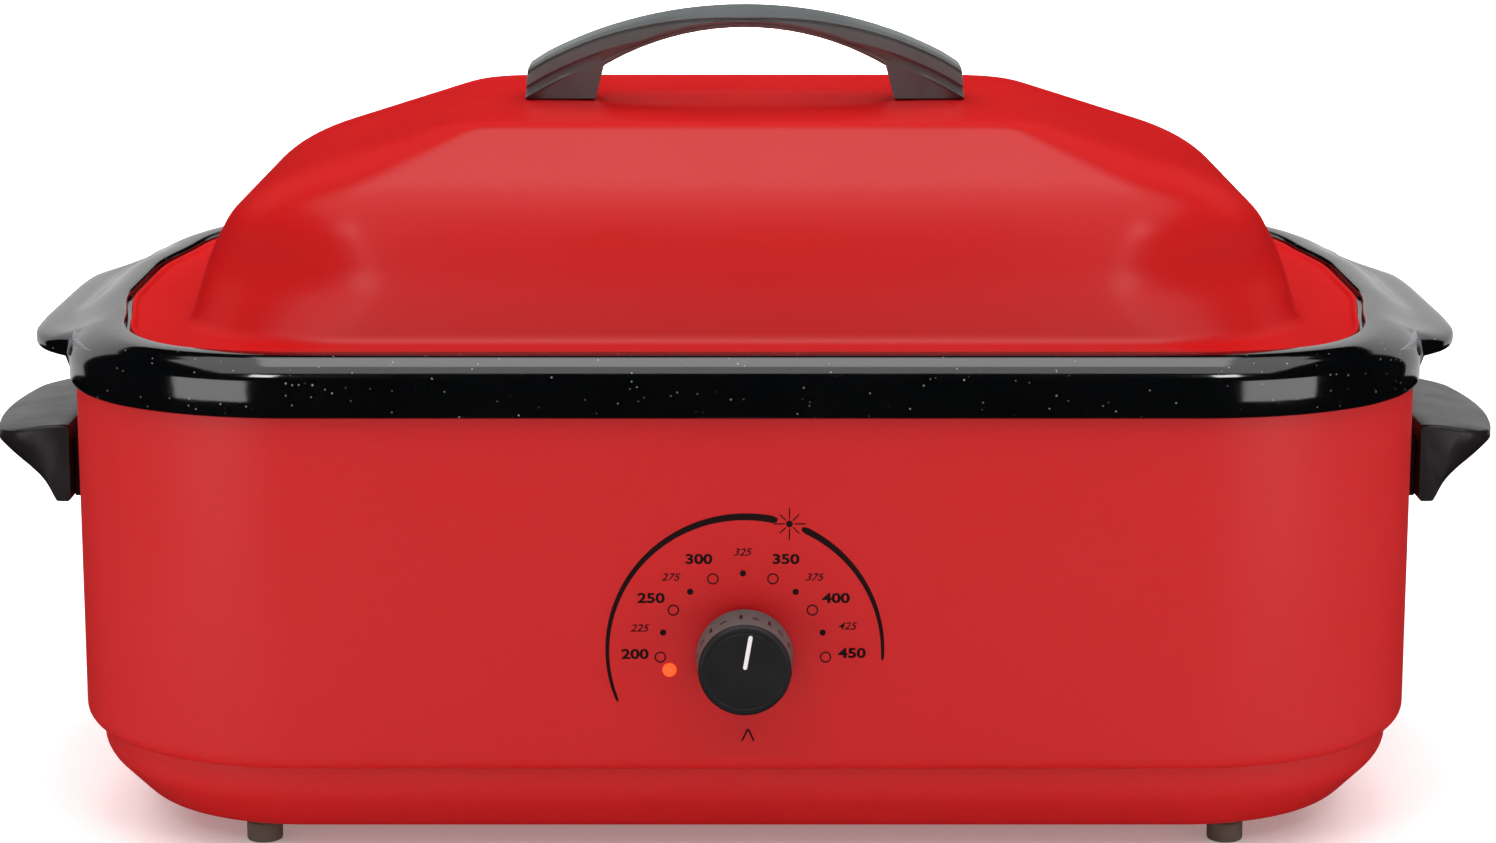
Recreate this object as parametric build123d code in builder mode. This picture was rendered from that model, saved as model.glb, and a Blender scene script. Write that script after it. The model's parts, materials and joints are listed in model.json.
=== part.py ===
from build123d import *
import os

# Electric roaster oven: an enamelled steel body on a bevelled base, a drop-in
# enamelled cookwell whose rim hooks over the body, a domed lift-off lid, and a
# thermostat knob on the front. Millimetres, +Z up, +X to the right of a person
# facing the knob, +Y towards the back. The pieces are drawn round the middle of
# the body, and saved with the origin on the table under the middle of the whole
# oven, from the knob's face to the back of the rim. Every level outline is the
# body's own outline, moved in or out, so the shells stay nested at any size.

# ---------------------------------------------------------------- body outline
body_length = 515.0  # outside of the body shell, left to right
body_depth = 367.0  # outside of the body shell, front to back
body_corner = 92.0  # plan radius of the body's corners

# ---------------------------------------------------------------------- levels
foot_height = 10.0  # table to the underside of the base
bevel_height = 18.0  # the base's slanted lower band
base_band = 10.0  # the base's upright band between bevel and shell
shell_height = 150.3  # body shell, seam to top edge

# ------------------------------------------------------------ sheets and gaps
shell_wall = 0.7  # painted body shell
base_wall = 0.8  # painted base pan
liner_wall = 0.6  # aluminised heating well
pan_wall = 1.0  # enamelled cookwell
lid_wall = 0.9  # enamelled lid
lift_gap = 0.3  # between pieces that lift apart
slip_gap = 0.1  # between a fastener and its hole
touch_gap = 0.2  # between pieces assembled side by side

# --------------------------------------------------------------- base and shell
base_inset = 6.5  # base inside the shell's outline
base_bevel = 17.5  # how far the bevel runs in
base_tuck = 10.0  # base wall hidden above the seam, inside the shell
base_band_round = 8.0  # where the bevel meets the upright band
base_floor_round = 5.0  # where the bevel meets the floor
shell_roll = 7.0  # radius of the shell's rolled lower edge
back_panel_length = 300.0  # flat panel that closes the shell at the back

# ------------------------------------------------------------------------ well
liner_inset = 21.0  # outside of the well's mouth, inside the outline
well_draft = 15.0  # how far well and cookwell narrow to the bottom
liner_lip = 5.0  # the well's flange turned down over the shell
floor_gap = 4.0  # air under the cookwell
well_clear = 6.1  # underside of the well above the seam

# -------------------------------------------------------------------- cookwell
pan_gap = 4.0  # air between cookwell and well, measured level
rim_overhang = 5.0  # rim outside the body's outline
rim_width = 16.5  # rim, inside edge to outside edge
rim_skirt = 22.3  # rim height, skirt edge to crest
rim_round = 8.0  # radius over the rim's outer shoulder
rim_rise = 4.3  # crest above the lid's ledge
rim_inner_round = 1.2  # radius on the rim's inside edge
pan_floor_round = 18.0  # inside radius between floor and wall
tab_length = 122.0  # lifting tab, along the side
tab_root = 164.0  # lifting tab where it leaves the rim
tab_reach = 18.0  # lifting tab outside the rim
tab_droop = 16.0  # tab's edge below the rim crest
tab_sheet = 2.0
tab_corner = 28.0

# ------------------------------------------------------------------------- lid
lid_gap = 1.2  # lid's edge inside the rim
flange_side = 26.0  # flat flange, edge to dome, at the ends
flange_front = 31.0  # flat flange, edge to dome, at front and back
dome_corner = 58.0  # plan radius of the dome's foot
dome_levels = (24.5, 50.5, 77.8)  # above the flange: wall, shoulder, crown
dome_wall_in = 9.0  # the dome's wall inside its foot
dome_shoulder_side = 29.0  # shoulder inside the foot, at the ends
dome_shoulder_front = 20.0  # shoulder inside the foot, front and back
crown_length = 200.0
crown_depth = 180.0
dome_wall_corner, dome_shoulder_corner, crown_corner = 54.0, 42.0, 14.0
flare_out, flare_height = 6.0, 6.0  # sweep of the dome into its flange
shoulder_round = 20.0
crown_round = 9.0
dish_length, dish_depth, dish_drop = 120.0, 62.0, 5.5  # finger recess
dish_slope = 14.0  # how far the recess narrows to its floor

# ----------------------------------------------------------------- lid handle
grip_span = 177.0  # over the two feet
grip_width = 28.0  # front to back
grip_end_height = 12.0  # outer end above the lid
grip_crest = 37.5  # top of the arch above the lid
grip_thickness = 9.0  # arch at its middle
grip_foot_length = 28.5
grip_knee_in = 4.5  # how far the inside of the leg leans in
grip_knee_height = 12.5
grip_web_in = 4.0  # the feet's webs inside the handle's flanks
grip_edge_round = 2.0
grip_screw_in = 13.0  # screw axis from the foot's outer end
grip_screw_reach = 9.0  # screw into the handle

# --------------------------------------------------------------- side handles
handle_length = 112.0  # along the side
handle_top = 143.5  # above the table
handle_drop = 31.0  # top to the lower lip
handle_standoff = 12.0  # body to the inner face
handle_reach = 35.0  # inner face to the outer edge, at its middle
handle_end_reach = 27.0  # the same, at the handle's ends
handle_brim = 5.0  # outer edge, top to underside
handle_slope = 3.5  # the top falls by this to the outer edge
handle_lip = 6.0  # lower lip, inner face to outside
handle_edge_round = 1.5
spacer_length = 92.0
spacer_height = 24.0
handle_screw_spacing = 64.0
handle_screw_reach = 12.0  # screw into the handle

# --------------------------------------------------------------- round things
screw_radius = 2.0
screw_head_radius = 4.0
screw_head_height = 2.4
washer_radius = 5.5
washer_thickness = 1.0
foot_radius = 6.8
foot_x, foot_y = 183.5, 143.0
foot_neck_radius = 4.0
foot_head_radius = 5.5
foot_head_height = 3.0

# -------------------------------------------------------------------- controls
dial_height = 83.0  # knob axis above the table
knob_back_radius = 17.9
knob_front_radius = 16.9
knob_length = 21.0  # skirt back to face
knob_stand = 1.5  # skirt off the body
knob_face = 3.0  # thickness of the face
knob_wall = 2.2
knob_boss_radius = 5.5
knob_boss_stand = 1.0  # boss off the shaft's bush
knob_edge_round = 1.2
skirt_length = 6.0  # the marked ring on the knob's back
skirt_wall = 2.0
pointer_length = 12.8
pointer_width = 1.5
pointer_depth = 0.8
pointer_turn = 10.0  # degrees clockwise of straight up, as stored
shaft_radius = 3.0
shaft_flat = 1.2  # depth of the flat on the shaft
shaft_gap = 0.05  # running clearance of the shaft in its bush
shaft_end_gap = 0.4
clip_thickness = 0.5
clip_width = 3.0
clip_length = 7.0
bush_radius = 5.0
bush_proud = 1.2  # bush beyond its nut
thermostat_size = 34.0
thermostat_depth = 14.0
thermostat_bore = 9.0  # shaft into the body
plate_size = 45.0
plate_wall = 1.2
nut_across = 13.0
nut_height = 2.5
lamp_x, lamp_below_dial = -27.7, 5.5
lamp_radius = 2.3
lamp_head_radius = 3.1
lamp_stand = 0.8
lamp_body_radius = 3.6
lamp_body_length = 13.0
lamp_body_wall = 1.0

# ------------------------------------------------------------------- internals
band_height = 24.0
band_wall = 1.2
band_clear = 17.3  # lower band's edge above the well's floor
band_pitch = 42.0  # lower band to upper band
blanket_wall = 8.0
blanket_hem = 7.3  # blanket's lower edge above the well's floor
blanket_head = 6.3  # blanket's upper edge below the shell's
shield_inset = 38.0
shield_wall = 0.5
shield_rise = 18.0  # shield above the base's floor
stud_radius = 2.5
stud_spacing = 240.0
stud_tail = 4.5  # stud below the base
sleeve_radius = 5.0
stud_nut_across = 9.0
stud_nut_height = 3.0
gland_x, gland_z = 120.0, 62.0
gland_bore = 4.2
gland_neck_radius = 7.0
gland_flange_radius = 9.5
gland_flange = 3.0
gland_inside = 5.0
terminal_x = 70.0
terminal_length, terminal_height = 30.0, 14.0
terminal_overlap = 5.0  # terminals stand forward past the thermostat's back
band_split = 6.0  # gap between a band's ends, under its terminal
window_gap = 1.0  # round a terminal where it passes the blanket
wire_radius = 1.2
wire_spacing = 8.0

# ------------------------------------------------------------------------ rack
rack_wire = 2.4  # radius of the frame wire
bar_wire = 1.5  # radius of the cross bars
rack_inset = 58.0  # frame's centre line inside the body's outline
rack_legs = 12.0  # cookwell floor to the bars' underside
bar_count = 15
bar_margin = 26.0  # frame end to the first bar
loop_width = 78.0
loop_height = 42.0
loop_bend = 14.0
rack_foot_wire = 2.0  # radius of the feet
rack_foot_y = 100.0
rack_foot_bar = 2  # the feet stand on this bar, counted from each end

# -------------------------------------------------------------- derived places
half_x, half_y = body_length / 2, body_depth / 2
front = -half_y
base_bottom = foot_height
base_floor = base_bottom + base_wall
seam = base_bottom + bevel_height + base_band
shell_top = seam + shell_height
liner_top = shell_top + touch_gap + liner_wall
ledge_under = liner_top + lift_gap
ledge_top = ledge_under + pan_wall
rim_top = ledge_top + rim_rise
rim_bottom = rim_top - rim_skirt
rim_in = rim_overhang - rim_width
pan_out = -liner_inset - liner_wall - pan_gap
liner_under = seam + well_clear
liner_floor = liner_under + liner_wall
pan_under = liner_floor + floor_gap
pan_floor = pan_under + pan_wall
band_low = liner_floor + band_clear
band_high = band_low + band_pitch
blanket_bottom = liner_floor + blanket_hem
blanket_top = shell_top - blanket_head
lid_under = ledge_top + lift_gap
flange_top = lid_under + lid_wall
lid_out = rim_in - lid_gap
shoulder_level = lid_under + dome_levels[1]
crown_top = lid_under + dome_levels[2]
spacer_z = handle_top - handle_drop + spacer_height / 2
shield_top = base_floor + shield_rise
thermostat_front = front + shell_wall + 2 * touch_gap + plate_wall
thermostat_back = thermostat_front + thermostat_depth
bars_under = pan_floor + lift_gap + rack_legs
knob_front = knob_stand + knob_length
origin_shift = (knob_front - rim_overhang) / 2


def well_side(z):
    """Offset of the well's outside at height z. The well narrows to its floor."""
    share = (liner_top - z) / (liner_top - liner_under)
    return -liner_inset - well_draft * share


def pan_side(z):
    """Offset of the cookwell's outside at height z."""
    share = (ledge_under - z) / (ledge_under - pan_under)
    return pan_out - well_draft * share


def outline(out, z, corner=None):
    """The body's plan outline, moved outwards by out, as a sketch at height z."""
    radius = body_corner + out if corner is None else corner
    with BuildSketch(Plane.XY.offset(z)) as plan:
        RectangleRounded(2 * (half_x + out), 2 * (half_y + out), radius)
    return plan.sketch


def slab(out, low, high, mode=Mode.ADD):
    """An upright block with the body's outline, in the open part."""
    extrude(outline(out, low), amount=high - low, mode=mode)


def frustum(side, low, high, shift=0.0, mode=Mode.ADD):
    """A drafted block whose outline at height z is side(z) + shift."""
    loft([outline(side(low) + shift, low), outline(side(high) + shift, high)], ruled=True, mode=mode)


def level_edges(builder, z):
    """The edges of the open part that lie level at height z."""
    return builder.edges().filter_by_position(Axis.Z, z - 0.01, z + 0.01)


def front_plane(x, z, y=front):
    """A drawing plane at depth y that faces a person in front of the knob."""
    return Plane(origin=(x, y, z), x_dir=(1, 0, 0), z_dir=(0, -1, 0))


def side_plane(side, x, z):
    """A drawing plane at distance x that faces out to one side."""
    return Plane(origin=(side * x, 0, z), x_dir=(0, side, 0), z_dir=(side, 0, 0))


def save(part, name):
    """Writes one sub-part under its node name, moved to the oven's own origin."""
    placed = part.moved(Location((0, origin_shift, 0)))
    placed.label = name
    export_step(placed, f"parts/{name}.step")


os.makedirs("parts", exist_ok=True)
back_plane = Plane(origin=(gland_x, half_y, gland_z), x_dir=(-1, 0, 0), z_dir=(0, 1, 0))
foot_places = [(x, y) for x in (-foot_x, foot_x) for y in (-foot_y, foot_y)]
stud_places = [(-stud_spacing / 2, 0), (stud_spacing / 2, 0)]
sides = {"left": -1, "right": 1}
grip_screws = (grip_screw_in - grip_span / 2, grip_span / 2 - grip_screw_in)

# ------------------------------------------------------------------- base_pan
# Pressed steel tray: upright band, slanted band, flat floor with foot holes.
with BuildPart() as base_room:
    slab(-base_inset - base_wall, base_floor, seam + base_tuck)
    chamfer(level_edges(base_room, base_floor), length=bevel_height, length2=base_bevel)
with BuildPart() as base_pan:
    slab(-base_inset, base_bottom, seam + base_tuck)
    chamfer(level_edges(base_pan, base_bottom), length=bevel_height, length2=base_bevel)
    fillet(level_edges(base_pan, base_bottom + bevel_height), radius=base_band_round)
    fillet(level_edges(base_pan, base_bottom), radius=base_floor_round)
    add(base_room.part, mode=Mode.SUBTRACT)
    with Locations(*[(x, y, base_bottom) for x, y in foot_places]):
        Cylinder(foot_neck_radius + slip_gap, 4 * base_wall, mode=Mode.SUBTRACT)
    with Locations(*[(x, y, base_bottom) for x, y in stud_places]):
        Cylinder(stud_radius + slip_gap, 4 * base_wall, mode=Mode.SUBTRACT)
save(base_pan.part, "base_pan")

# ---------------------------------------------------- outer_shell, back_panel
# The painted body wall. Its lower edge rolls in to meet the base. The wrap runs
# round the front and both ends, and a flat panel closes it at the back.
with BuildPart() as shell_room:
    slab(-shell_wall, seam + shell_wall, shell_top)
    fillet(level_edges(shell_room, seam + shell_wall), radius=shell_roll - shell_wall)
    slab(-base_inset + touch_gap, seam, seam + shell_roll)
with BuildPart() as body_wall:
    slab(0, seam, shell_top)
    fillet(level_edges(body_wall, seam), radius=shell_roll)
    add(shell_room.part, mode=Mode.SUBTRACT)
    with Locations(front_plane(0, dial_height)):
        Cylinder(bush_radius + slip_gap, 4 * shell_wall, mode=Mode.SUBTRACT)
    with Locations(front_plane(lamp_x, dial_height - lamp_below_dial)):
        Cylinder(lamp_radius + slip_gap, 4 * shell_wall, mode=Mode.SUBTRACT)
    with Locations(back_plane):
        Cylinder(gland_neck_radius + slip_gap, 4 * shell_wall, mode=Mode.SUBTRACT)
    for side in sides.values():
        with Locations(side_plane(side, half_x, spacer_z)):
            with GridLocations(handle_screw_spacing, 1, 2, 1):
                Cylinder(screw_radius + slip_gap, 4 * shell_wall, mode=Mode.SUBTRACT)
with BuildPart() as back_room:
    with Locations((0, half_y, seam)):
        Box(back_panel_length, half_y, 3 * shell_height)
with BuildPart() as outer_shell:
    add(body_wall.part)
    add(back_room.part, mode=Mode.SUBTRACT)
save(outer_shell.part, "outer_shell")
with BuildPart() as back_panel:
    add(body_wall.part)
    add(back_room.part, mode=Mode.INTERSECT)
save(back_panel.part, "back_panel")

# ---------------------------------------------------------------------- liner
# The heating well: a drafted steel box whose flange caps the shell's top edge.
with BuildPart() as well:
    frustum(well_side, liner_under, liner_top)
    fillet(level_edges(well, liner_under), radius=pan_floor_round + liner_wall)
    offset(amount=-liner_wall, openings=well.faces().sort_by(Axis.Z)[-1])
with BuildPart() as liner:
    slab(touch_gap + liner_wall, shell_top - liner_lip, liner_top)
    slab(touch_gap, shell_top - liner_lip, shell_top + touch_gap, mode=Mode.SUBTRACT)
    frustum(well_side, shell_top + touch_gap, liner_top, -liner_wall / 2, mode=Mode.SUBTRACT)
    add(well.part)
save(liner.part, "liner")

# ------------------------------------------------------------------- cookwell
# One pressing: the pan, the ledge that the lid sits on, the raised rim with
# its turned-down skirt, and a lifting tab at each end.
tab_edge_x = half_x + rim_overhang + tab_reach
with BuildPart() as tabs:
    with BuildSketch(Plane.XZ) as tab_section:
        with BuildLine():
            root = (half_x + rim_overhang - rim_round, rim_top)
            tip = (tab_edge_x, rim_top - tab_droop)
            top_curve = Spline(root, tip, tangents=((1, -0.05), (0.55, -1)))
            tip_low = (tip[0] - tab_sheet, tip[1])
            root_low = (root[0], root[1] - tab_sheet)
            under_curve = Spline(root_low, tip_low, tangents=((1, -0.05), (0.55, -1)))
            Line(root, root_low)
            Line(tip, tip_low)
        make_face()
    extrude(amount=tab_root / 2, both=True)
    with BuildSketch(Plane.XY.offset(rim_bottom - tab_droop)) as tab_plan:
        with BuildLine():
            Polyline(
                (half_x, -tab_root / 2),
                (tab_edge_x, -tab_length / 2),
                (tab_edge_x, tab_length / 2),
                (half_x, tab_root / 2),
                close=True,
            )
        make_face()
        fillet(tab_plan.vertices().group_by(Axis.X)[-1], radius=tab_corner)
    extrude(amount=2 * rim_skirt + 2 * tab_droop, mode=Mode.INTERSECT)
    mirror(about=Plane.YZ)
with BuildPart() as skirt_room:
    slab(rim_overhang - pan_wall, rim_bottom, rim_top - pan_wall)
    fillet(level_edges(skirt_room, rim_top - pan_wall), radius=rim_round - pan_wall)
    slab(rim_in + pan_wall, ledge_under, rim_top, Mode.SUBTRACT)
with BuildPart() as pan_room:
    frustum(pan_side, pan_floor, ledge_top, -pan_wall)
    fillet(level_edges(pan_room, pan_floor), radius=pan_floor_round)
with BuildPart() as cookwell:
    slab(rim_overhang, rim_bottom, rim_top)
    fillet(level_edges(cookwell, rim_top), radius=rim_round)
    add(tabs.part)
    add(skirt_room.part, mode=Mode.SUBTRACT)
    frustum(pan_side, pan_under, ledge_under)
    fillet(level_edges(cookwell, pan_under), radius=pan_floor_round + pan_wall)
    slab(rim_in, ledge_top, rim_top + pan_wall, Mode.SUBTRACT)
    fillet(level_edges(cookwell, rim_top).group_by(SortBy.LENGTH)[-1], radius=rim_inner_round)
    add(pan_room.part, mode=Mode.SUBTRACT)
save(cookwell.part, "cookwell")

# ------------------------------------------------------------------------ lid
# A pressed dome: flat flange, steep wall, sloped roof and a level crown with a
# finger recess under the handle.
dome_foot = (half_x + lid_out - flange_side, half_y + lid_out - flange_front)
dome_wall = (dome_foot[0] - dome_wall_in, dome_foot[1] - dome_wall_in)
dome_shoulder = (dome_foot[0] - dome_shoulder_side, dome_foot[1] - dome_shoulder_front)
dome_crown = (crown_length / 2, crown_depth / 2)


def dome(inset):
    """The dome's block, in the open part, moved in and down by inset."""
    levels = (0.0, flare_height) + tuple(level - inset for level in dome_levels)
    flare = (dome_foot[0] + flare_out, dome_foot[1] + flare_out)
    halves = (flare, dome_foot, dome_wall, dome_shoulder, dome_crown)
    corners = (dome_corner + flare_out, dome_corner, dome_wall_corner, dome_shoulder_corner, crown_corner)
    rings = []
    for level, half, corner in zip(levels, halves, corners):
        with BuildSketch(Plane.XY.offset(lid_under + level)) as ring:
            RectangleRounded(2 * (half[0] - inset), 2 * (half[1] - inset), corner - inset)
        rings.append(ring.sketch)
    loft(rings, ruled=True)


def dish(grow):
    """The finger recess, in the open part, grown by grow."""
    brim = grow + dish_slope * lid_wall / dish_drop
    with BuildSketch(Plane.XY.offset(crown_top + lid_wall)) as mouth:
        Ellipse(dish_length / 2 + brim, dish_depth / 2 + brim)
    with BuildSketch(Plane.XY.offset(crown_top - dish_drop - grow)) as floor:
        Ellipse(dish_length / 2 - dish_slope + grow, dish_depth / 2 - dish_slope + grow)
    loft([mouth.sketch, floor.sketch], ruled=True)


with BuildPart() as lid_dish:
    dish(0)
with BuildPart() as dish_sheet:
    dish(lid_wall)
with BuildPart() as lid_room:
    dome(lid_wall)
    fillet(level_edges(lid_room, crown_top - lid_wall), radius=crown_round - lid_wall)
    fillet(level_edges(lid_room, shoulder_level - lid_wall), radius=shoulder_round - lid_wall)
    add(dish_sheet.part, mode=Mode.SUBTRACT)
with BuildPart() as lid:
    dome(0)
    fillet(level_edges(lid, crown_top), radius=crown_round)
    fillet(level_edges(lid, shoulder_level), radius=shoulder_round)
    slab(lid_out, lid_under, flange_top)
    add(lid_room.part, mode=Mode.SUBTRACT)
    add(lid_dish.part, mode=Mode.SUBTRACT)
    with Locations(*[(x, 0, crown_top) for x in grip_screws]):
        Cylinder(screw_radius + slip_gap, 4 * lid_wall, mode=Mode.SUBTRACT)
save(lid.part, "lid")

# ----------------------------------------------------------------- lid_handle
# A moulded arch on two feet, screwed on from inside the lid.
knee_x = grip_span / 2 - grip_foot_length - grip_knee_in
with BuildPart() as lid_handle:
    with BuildSketch(Plane.XZ) as grip_side:
        with BuildLine():
            end_x, end_z = grip_span / 2, crown_top + grip_end_height
            knee_z = crown_top + grip_knee_height
            crest = crown_top + grip_crest
            foot_in = grip_span / 2 - grip_foot_length
            ThreePointArc((-end_x, end_z), (0, crest), (end_x, end_z))
            Polyline((end_x, end_z), (end_x, crown_top), (foot_in, crown_top), (knee_x, knee_z))
            ThreePointArc((knee_x, knee_z), (0, crest - grip_thickness), (-knee_x, knee_z))
            Polyline((-knee_x, knee_z), (-foot_in, crown_top), (-end_x, crown_top), (-end_x, end_z))
        make_face()
    extrude(amount=grip_width / 2, both=True)
    flanks = lid_handle.edges().filter_by_position(Axis.Y, grip_width / 2 - 0.01, grip_width / 2 + 0.01)
    flanks += lid_handle.edges().filter_by_position(Axis.Y, -grip_width / 2 - 0.01, -grip_width / 2 + 0.01)
    fillet(flanks.filter_by(lambda edge: edge.bounding_box().min.Z > crown_top + grip_edge_round), radius=grip_edge_round)
    for flank in (-1, 1):
        with BuildSketch(Plane.XZ.offset(flank * grip_width / 2)):
            with BuildLine():
                Polyline((end_x, crown_top), (foot_in, crown_top), (knee_x, knee_z), close=True)
            make_face()
            mirror(about=Plane.YZ)
        extrude(amount=-flank * grip_web_in, mode=Mode.SUBTRACT)
    with Locations(*[(x, 0, crown_top) for x in grip_screws]):
        Cylinder(screw_radius + slip_gap, 2 * grip_screw_reach, mode=Mode.SUBTRACT)
save(lid_handle.part, "lid_handle")

washer_top = crown_top - lid_wall
head_top = washer_top - washer_thickness
with BuildPart() as lid_handle_washers:
    for x in grip_screws:
        with BuildSketch(Plane.XY.offset(head_top)):
            with Locations((x, 0)):
                Circle(washer_radius)
                Circle(screw_radius + slip_gap, mode=Mode.SUBTRACT)
    extrude(amount=washer_thickness)
save(lid_handle_washers.part, "lid_handle_washers")

with BuildPart() as lid_handle_screws:
    for x in grip_screws:
        with Locations((x, 0, head_top)):
            bottom = (Align.CENTER, Align.CENTER, Align.MIN)
            Cylinder(screw_radius, crown_top + grip_screw_reach - slip_gap - head_top, align=bottom)
            Cylinder(screw_head_radius, screw_head_height, align=(Align.CENTER, Align.CENTER, Align.MAX))
save(lid_handle_screws.part, "lid_handle_screws")

# --------------------------------------------------------------- side handles
# A moulded wing on each end of the body, held off it by a spacer block.
handle_in = half_x + handle_standoff
handle_bottom = handle_top - handle_drop
with BuildPart() as wing:
    with BuildSketch(Plane.XZ):
        with BuildLine():
            brim_high = (handle_in + handle_reach, handle_top - handle_slope)
            brim_low = (brim_high[0], brim_high[1] - handle_brim)
            lip = (handle_in + handle_lip, handle_bottom)
            Polyline(lip, (handle_in, handle_bottom), (handle_in, handle_top), brim_high, brim_low)
            Spline(brim_low, lip, tangents=((-1, -0.75), (-0.5, -1)))
        make_face()
    extrude(amount=handle_length / 2, both=True)
    with BuildSketch(Plane.XY.offset(handle_bottom)):
        with BuildLine():
            end = handle_in + handle_end_reach
            ThreePointArc((end, -handle_length / 2), (handle_in + handle_reach, 0), (end, handle_length / 2))
            Polyline((end, handle_length / 2), (half_x, handle_length / 2), (half_x, 0))
            Polyline((half_x, 0), (half_x, -handle_length / 2), (end, -handle_length / 2))
        make_face()
    extrude(amount=handle_drop, mode=Mode.INTERSECT)
    crown_edges = wing.edges().filter_by(lambda edge: edge.center().Z > brim_high[1] - 0.5)
    fillet(crown_edges, radius=handle_edge_round)
    with Locations(side_plane(1, handle_in, spacer_z)):
        with GridLocations(handle_screw_spacing, 1, 2, 1):
            Cylinder(screw_radius + slip_gap, 2 * handle_screw_reach, mode=Mode.SUBTRACT)

with BuildPart() as spacer:
    with BuildSketch(Plane.YZ.offset(half_x)):
        with Locations((0, spacer_z)):
            Rectangle(spacer_length, spacer_height)
            with GridLocations(handle_screw_spacing, 1, 2, 1):
                Circle(screw_radius + slip_gap, mode=Mode.SUBTRACT)
    extrude(amount=handle_standoff)

for name, side in sides.items():
    with BuildPart() as side_handle:
        add(wing.part if side > 0 else wing.part.mirror(Plane.YZ))
    save(side_handle.part, f"side_handle_{name}")
    with BuildPart() as handle_spacer:
        add(spacer.part if side > 0 else spacer.part.mirror(Plane.YZ))
    save(handle_spacer.part, f"handle_spacer_{name}")

with BuildPart() as side_handle_screws:
    for side in sides.values():
        with Locations(side_plane(side, half_x - shell_wall, spacer_z)):
            with GridLocations(handle_screw_spacing, 1, 2, 1):
                reach = shell_wall + handle_standoff + handle_screw_reach - slip_gap
                Cylinder(screw_radius, reach, align=(Align.CENTER, Align.CENTER, Align.MIN))
                Cylinder(screw_head_radius, screw_head_height, align=(Align.CENTER, Align.CENTER, Align.MAX))
save(side_handle_screws.part, "side_handle_screws")

# ----------------------------------------------------------------------- feet
# Push-in feet: a body below the base, a neck through it and a head above it.
upright = (Align.CENTER, Align.CENTER, Align.MIN)
for (x, y), place in zip(foot_places, ("front_left", "back_left", "front_right", "back_right")):
    with BuildPart(Plane.XY) as foot:
        with Locations((x, y, 0)):
            Cylinder(foot_radius, foot_height, align=upright)
            Cylinder(foot_neck_radius, base_floor, align=upright)
        with Locations((x, y, base_floor)):
            Cylinder(foot_head_radius, foot_head_height, align=upright)
    save(foot.part, f"foot_{place}")

# --------------------------------------------------------------- heater bands
# Two resistance bands clamped round the well, each split under its terminal.
blanket_in = 2 * touch_gap + band_wall
terminal_front = thermostat_back - terminal_overlap
for name, low in (("lower", band_low), ("upper", band_high)):
    with BuildPart() as heater_band:
        frustum(well_side, low, low + band_height, touch_gap + band_wall)
        frustum(well_side, low, low + band_height, touch_gap, Mode.SUBTRACT)
        with Locations((terminal_x, front, low + band_height / 2)):
            Box(band_split, 2 * half_y, 2 * band_height, mode=Mode.SUBTRACT)
    save(heater_band.part, f"heater_band_{name}")
    with BuildPart() as heater_terminal:
        with Locations((terminal_x, terminal_front, low + band_height / 2)):
            Box(terminal_length, half_y / 2, terminal_height, align=(Align.CENTER, Align.MIN, Align.CENTER))
        frustum(well_side, low, low + band_height, blanket_in, Mode.SUBTRACT)
    save(heater_terminal.part, f"heater_terminal_{name}")

with BuildPart() as insulation_blanket:
    frustum(well_side, blanket_bottom, blanket_top, blanket_in + blanket_wall)
    frustum(well_side, blanket_bottom, blanket_top, blanket_in, Mode.SUBTRACT)
    for low in (band_low, band_high):
        with Locations((terminal_x, front, low + band_height / 2)):
            window = (terminal_length + 2 * window_gap, half_y, terminal_height + 2 * window_gap)
            Box(*window, mode=Mode.SUBTRACT)
save(insulation_blanket.part, "insulation_blanket")

lead_y = thermostat_back - terminal_overlap / 2
low_z, high_z = band_low + band_height / 2, band_high + band_height / 2
with BuildPart() as heater_leads:
    with BuildSketch(Plane.YZ.offset(thermostat_size / 2)):
        with Locations((lead_y, low_z)):
            with GridLocations(1, wire_spacing, 1, 2):
                Circle(wire_radius)
    extrude(amount=terminal_x - (terminal_length + thermostat_size) / 2)
    with BuildSketch(Plane.XY.offset(low_z + terminal_height / 2)):
        with Locations((terminal_x, lead_y)):
            with GridLocations(wire_spacing, 1, 2, 1):
                Circle(wire_radius)
    extrude(amount=high_z - low_z - terminal_height)
save(heater_leads.part, "heater_leads")

# ---------------------------------------------------------- shield and clamps
with BuildPart() as heat_shield:
    slab(-shield_inset, shield_top - shield_wall, shield_top)
    with Locations(*[(x, y, shield_top) for x, y in stud_places]):
        Cylinder(stud_radius + slip_gap, 4 * shield_wall, mode=Mode.SUBTRACT)
save(heat_shield.part, "heat_shield")

with BuildPart() as clamp_studs:
    with Locations(*[(x, y, base_bottom - stud_tail) for x, y in stud_places]):
        Cylinder(stud_radius, liner_under - base_bottom + stud_tail, align=upright)
save(clamp_studs.part, "clamp_studs")

with BuildPart() as clamp_sleeves:
    for low, high in ((base_floor, shield_top - shield_wall), (shield_top, liner_under)):
        with BuildSketch(Plane.XY.offset(low)):
            with Locations(*stud_places):
                Circle(sleeve_radius)
                Circle(stud_radius + slip_gap, mode=Mode.SUBTRACT)
        extrude(amount=high - low)
save(clamp_sleeves.part, "clamp_sleeves")

with BuildPart() as clamp_nuts:
    with BuildSketch(Plane.XY.offset(base_bottom - stud_nut_height)):
        with Locations(*stud_places):
            RegularPolygon(stud_nut_across / 2, 6, major_radius=False)
            Circle(stud_radius + slip_gap, mode=Mode.SUBTRACT)
    extrude(amount=stud_nut_height)
save(clamp_nuts.part, "clamp_nuts")

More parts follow.
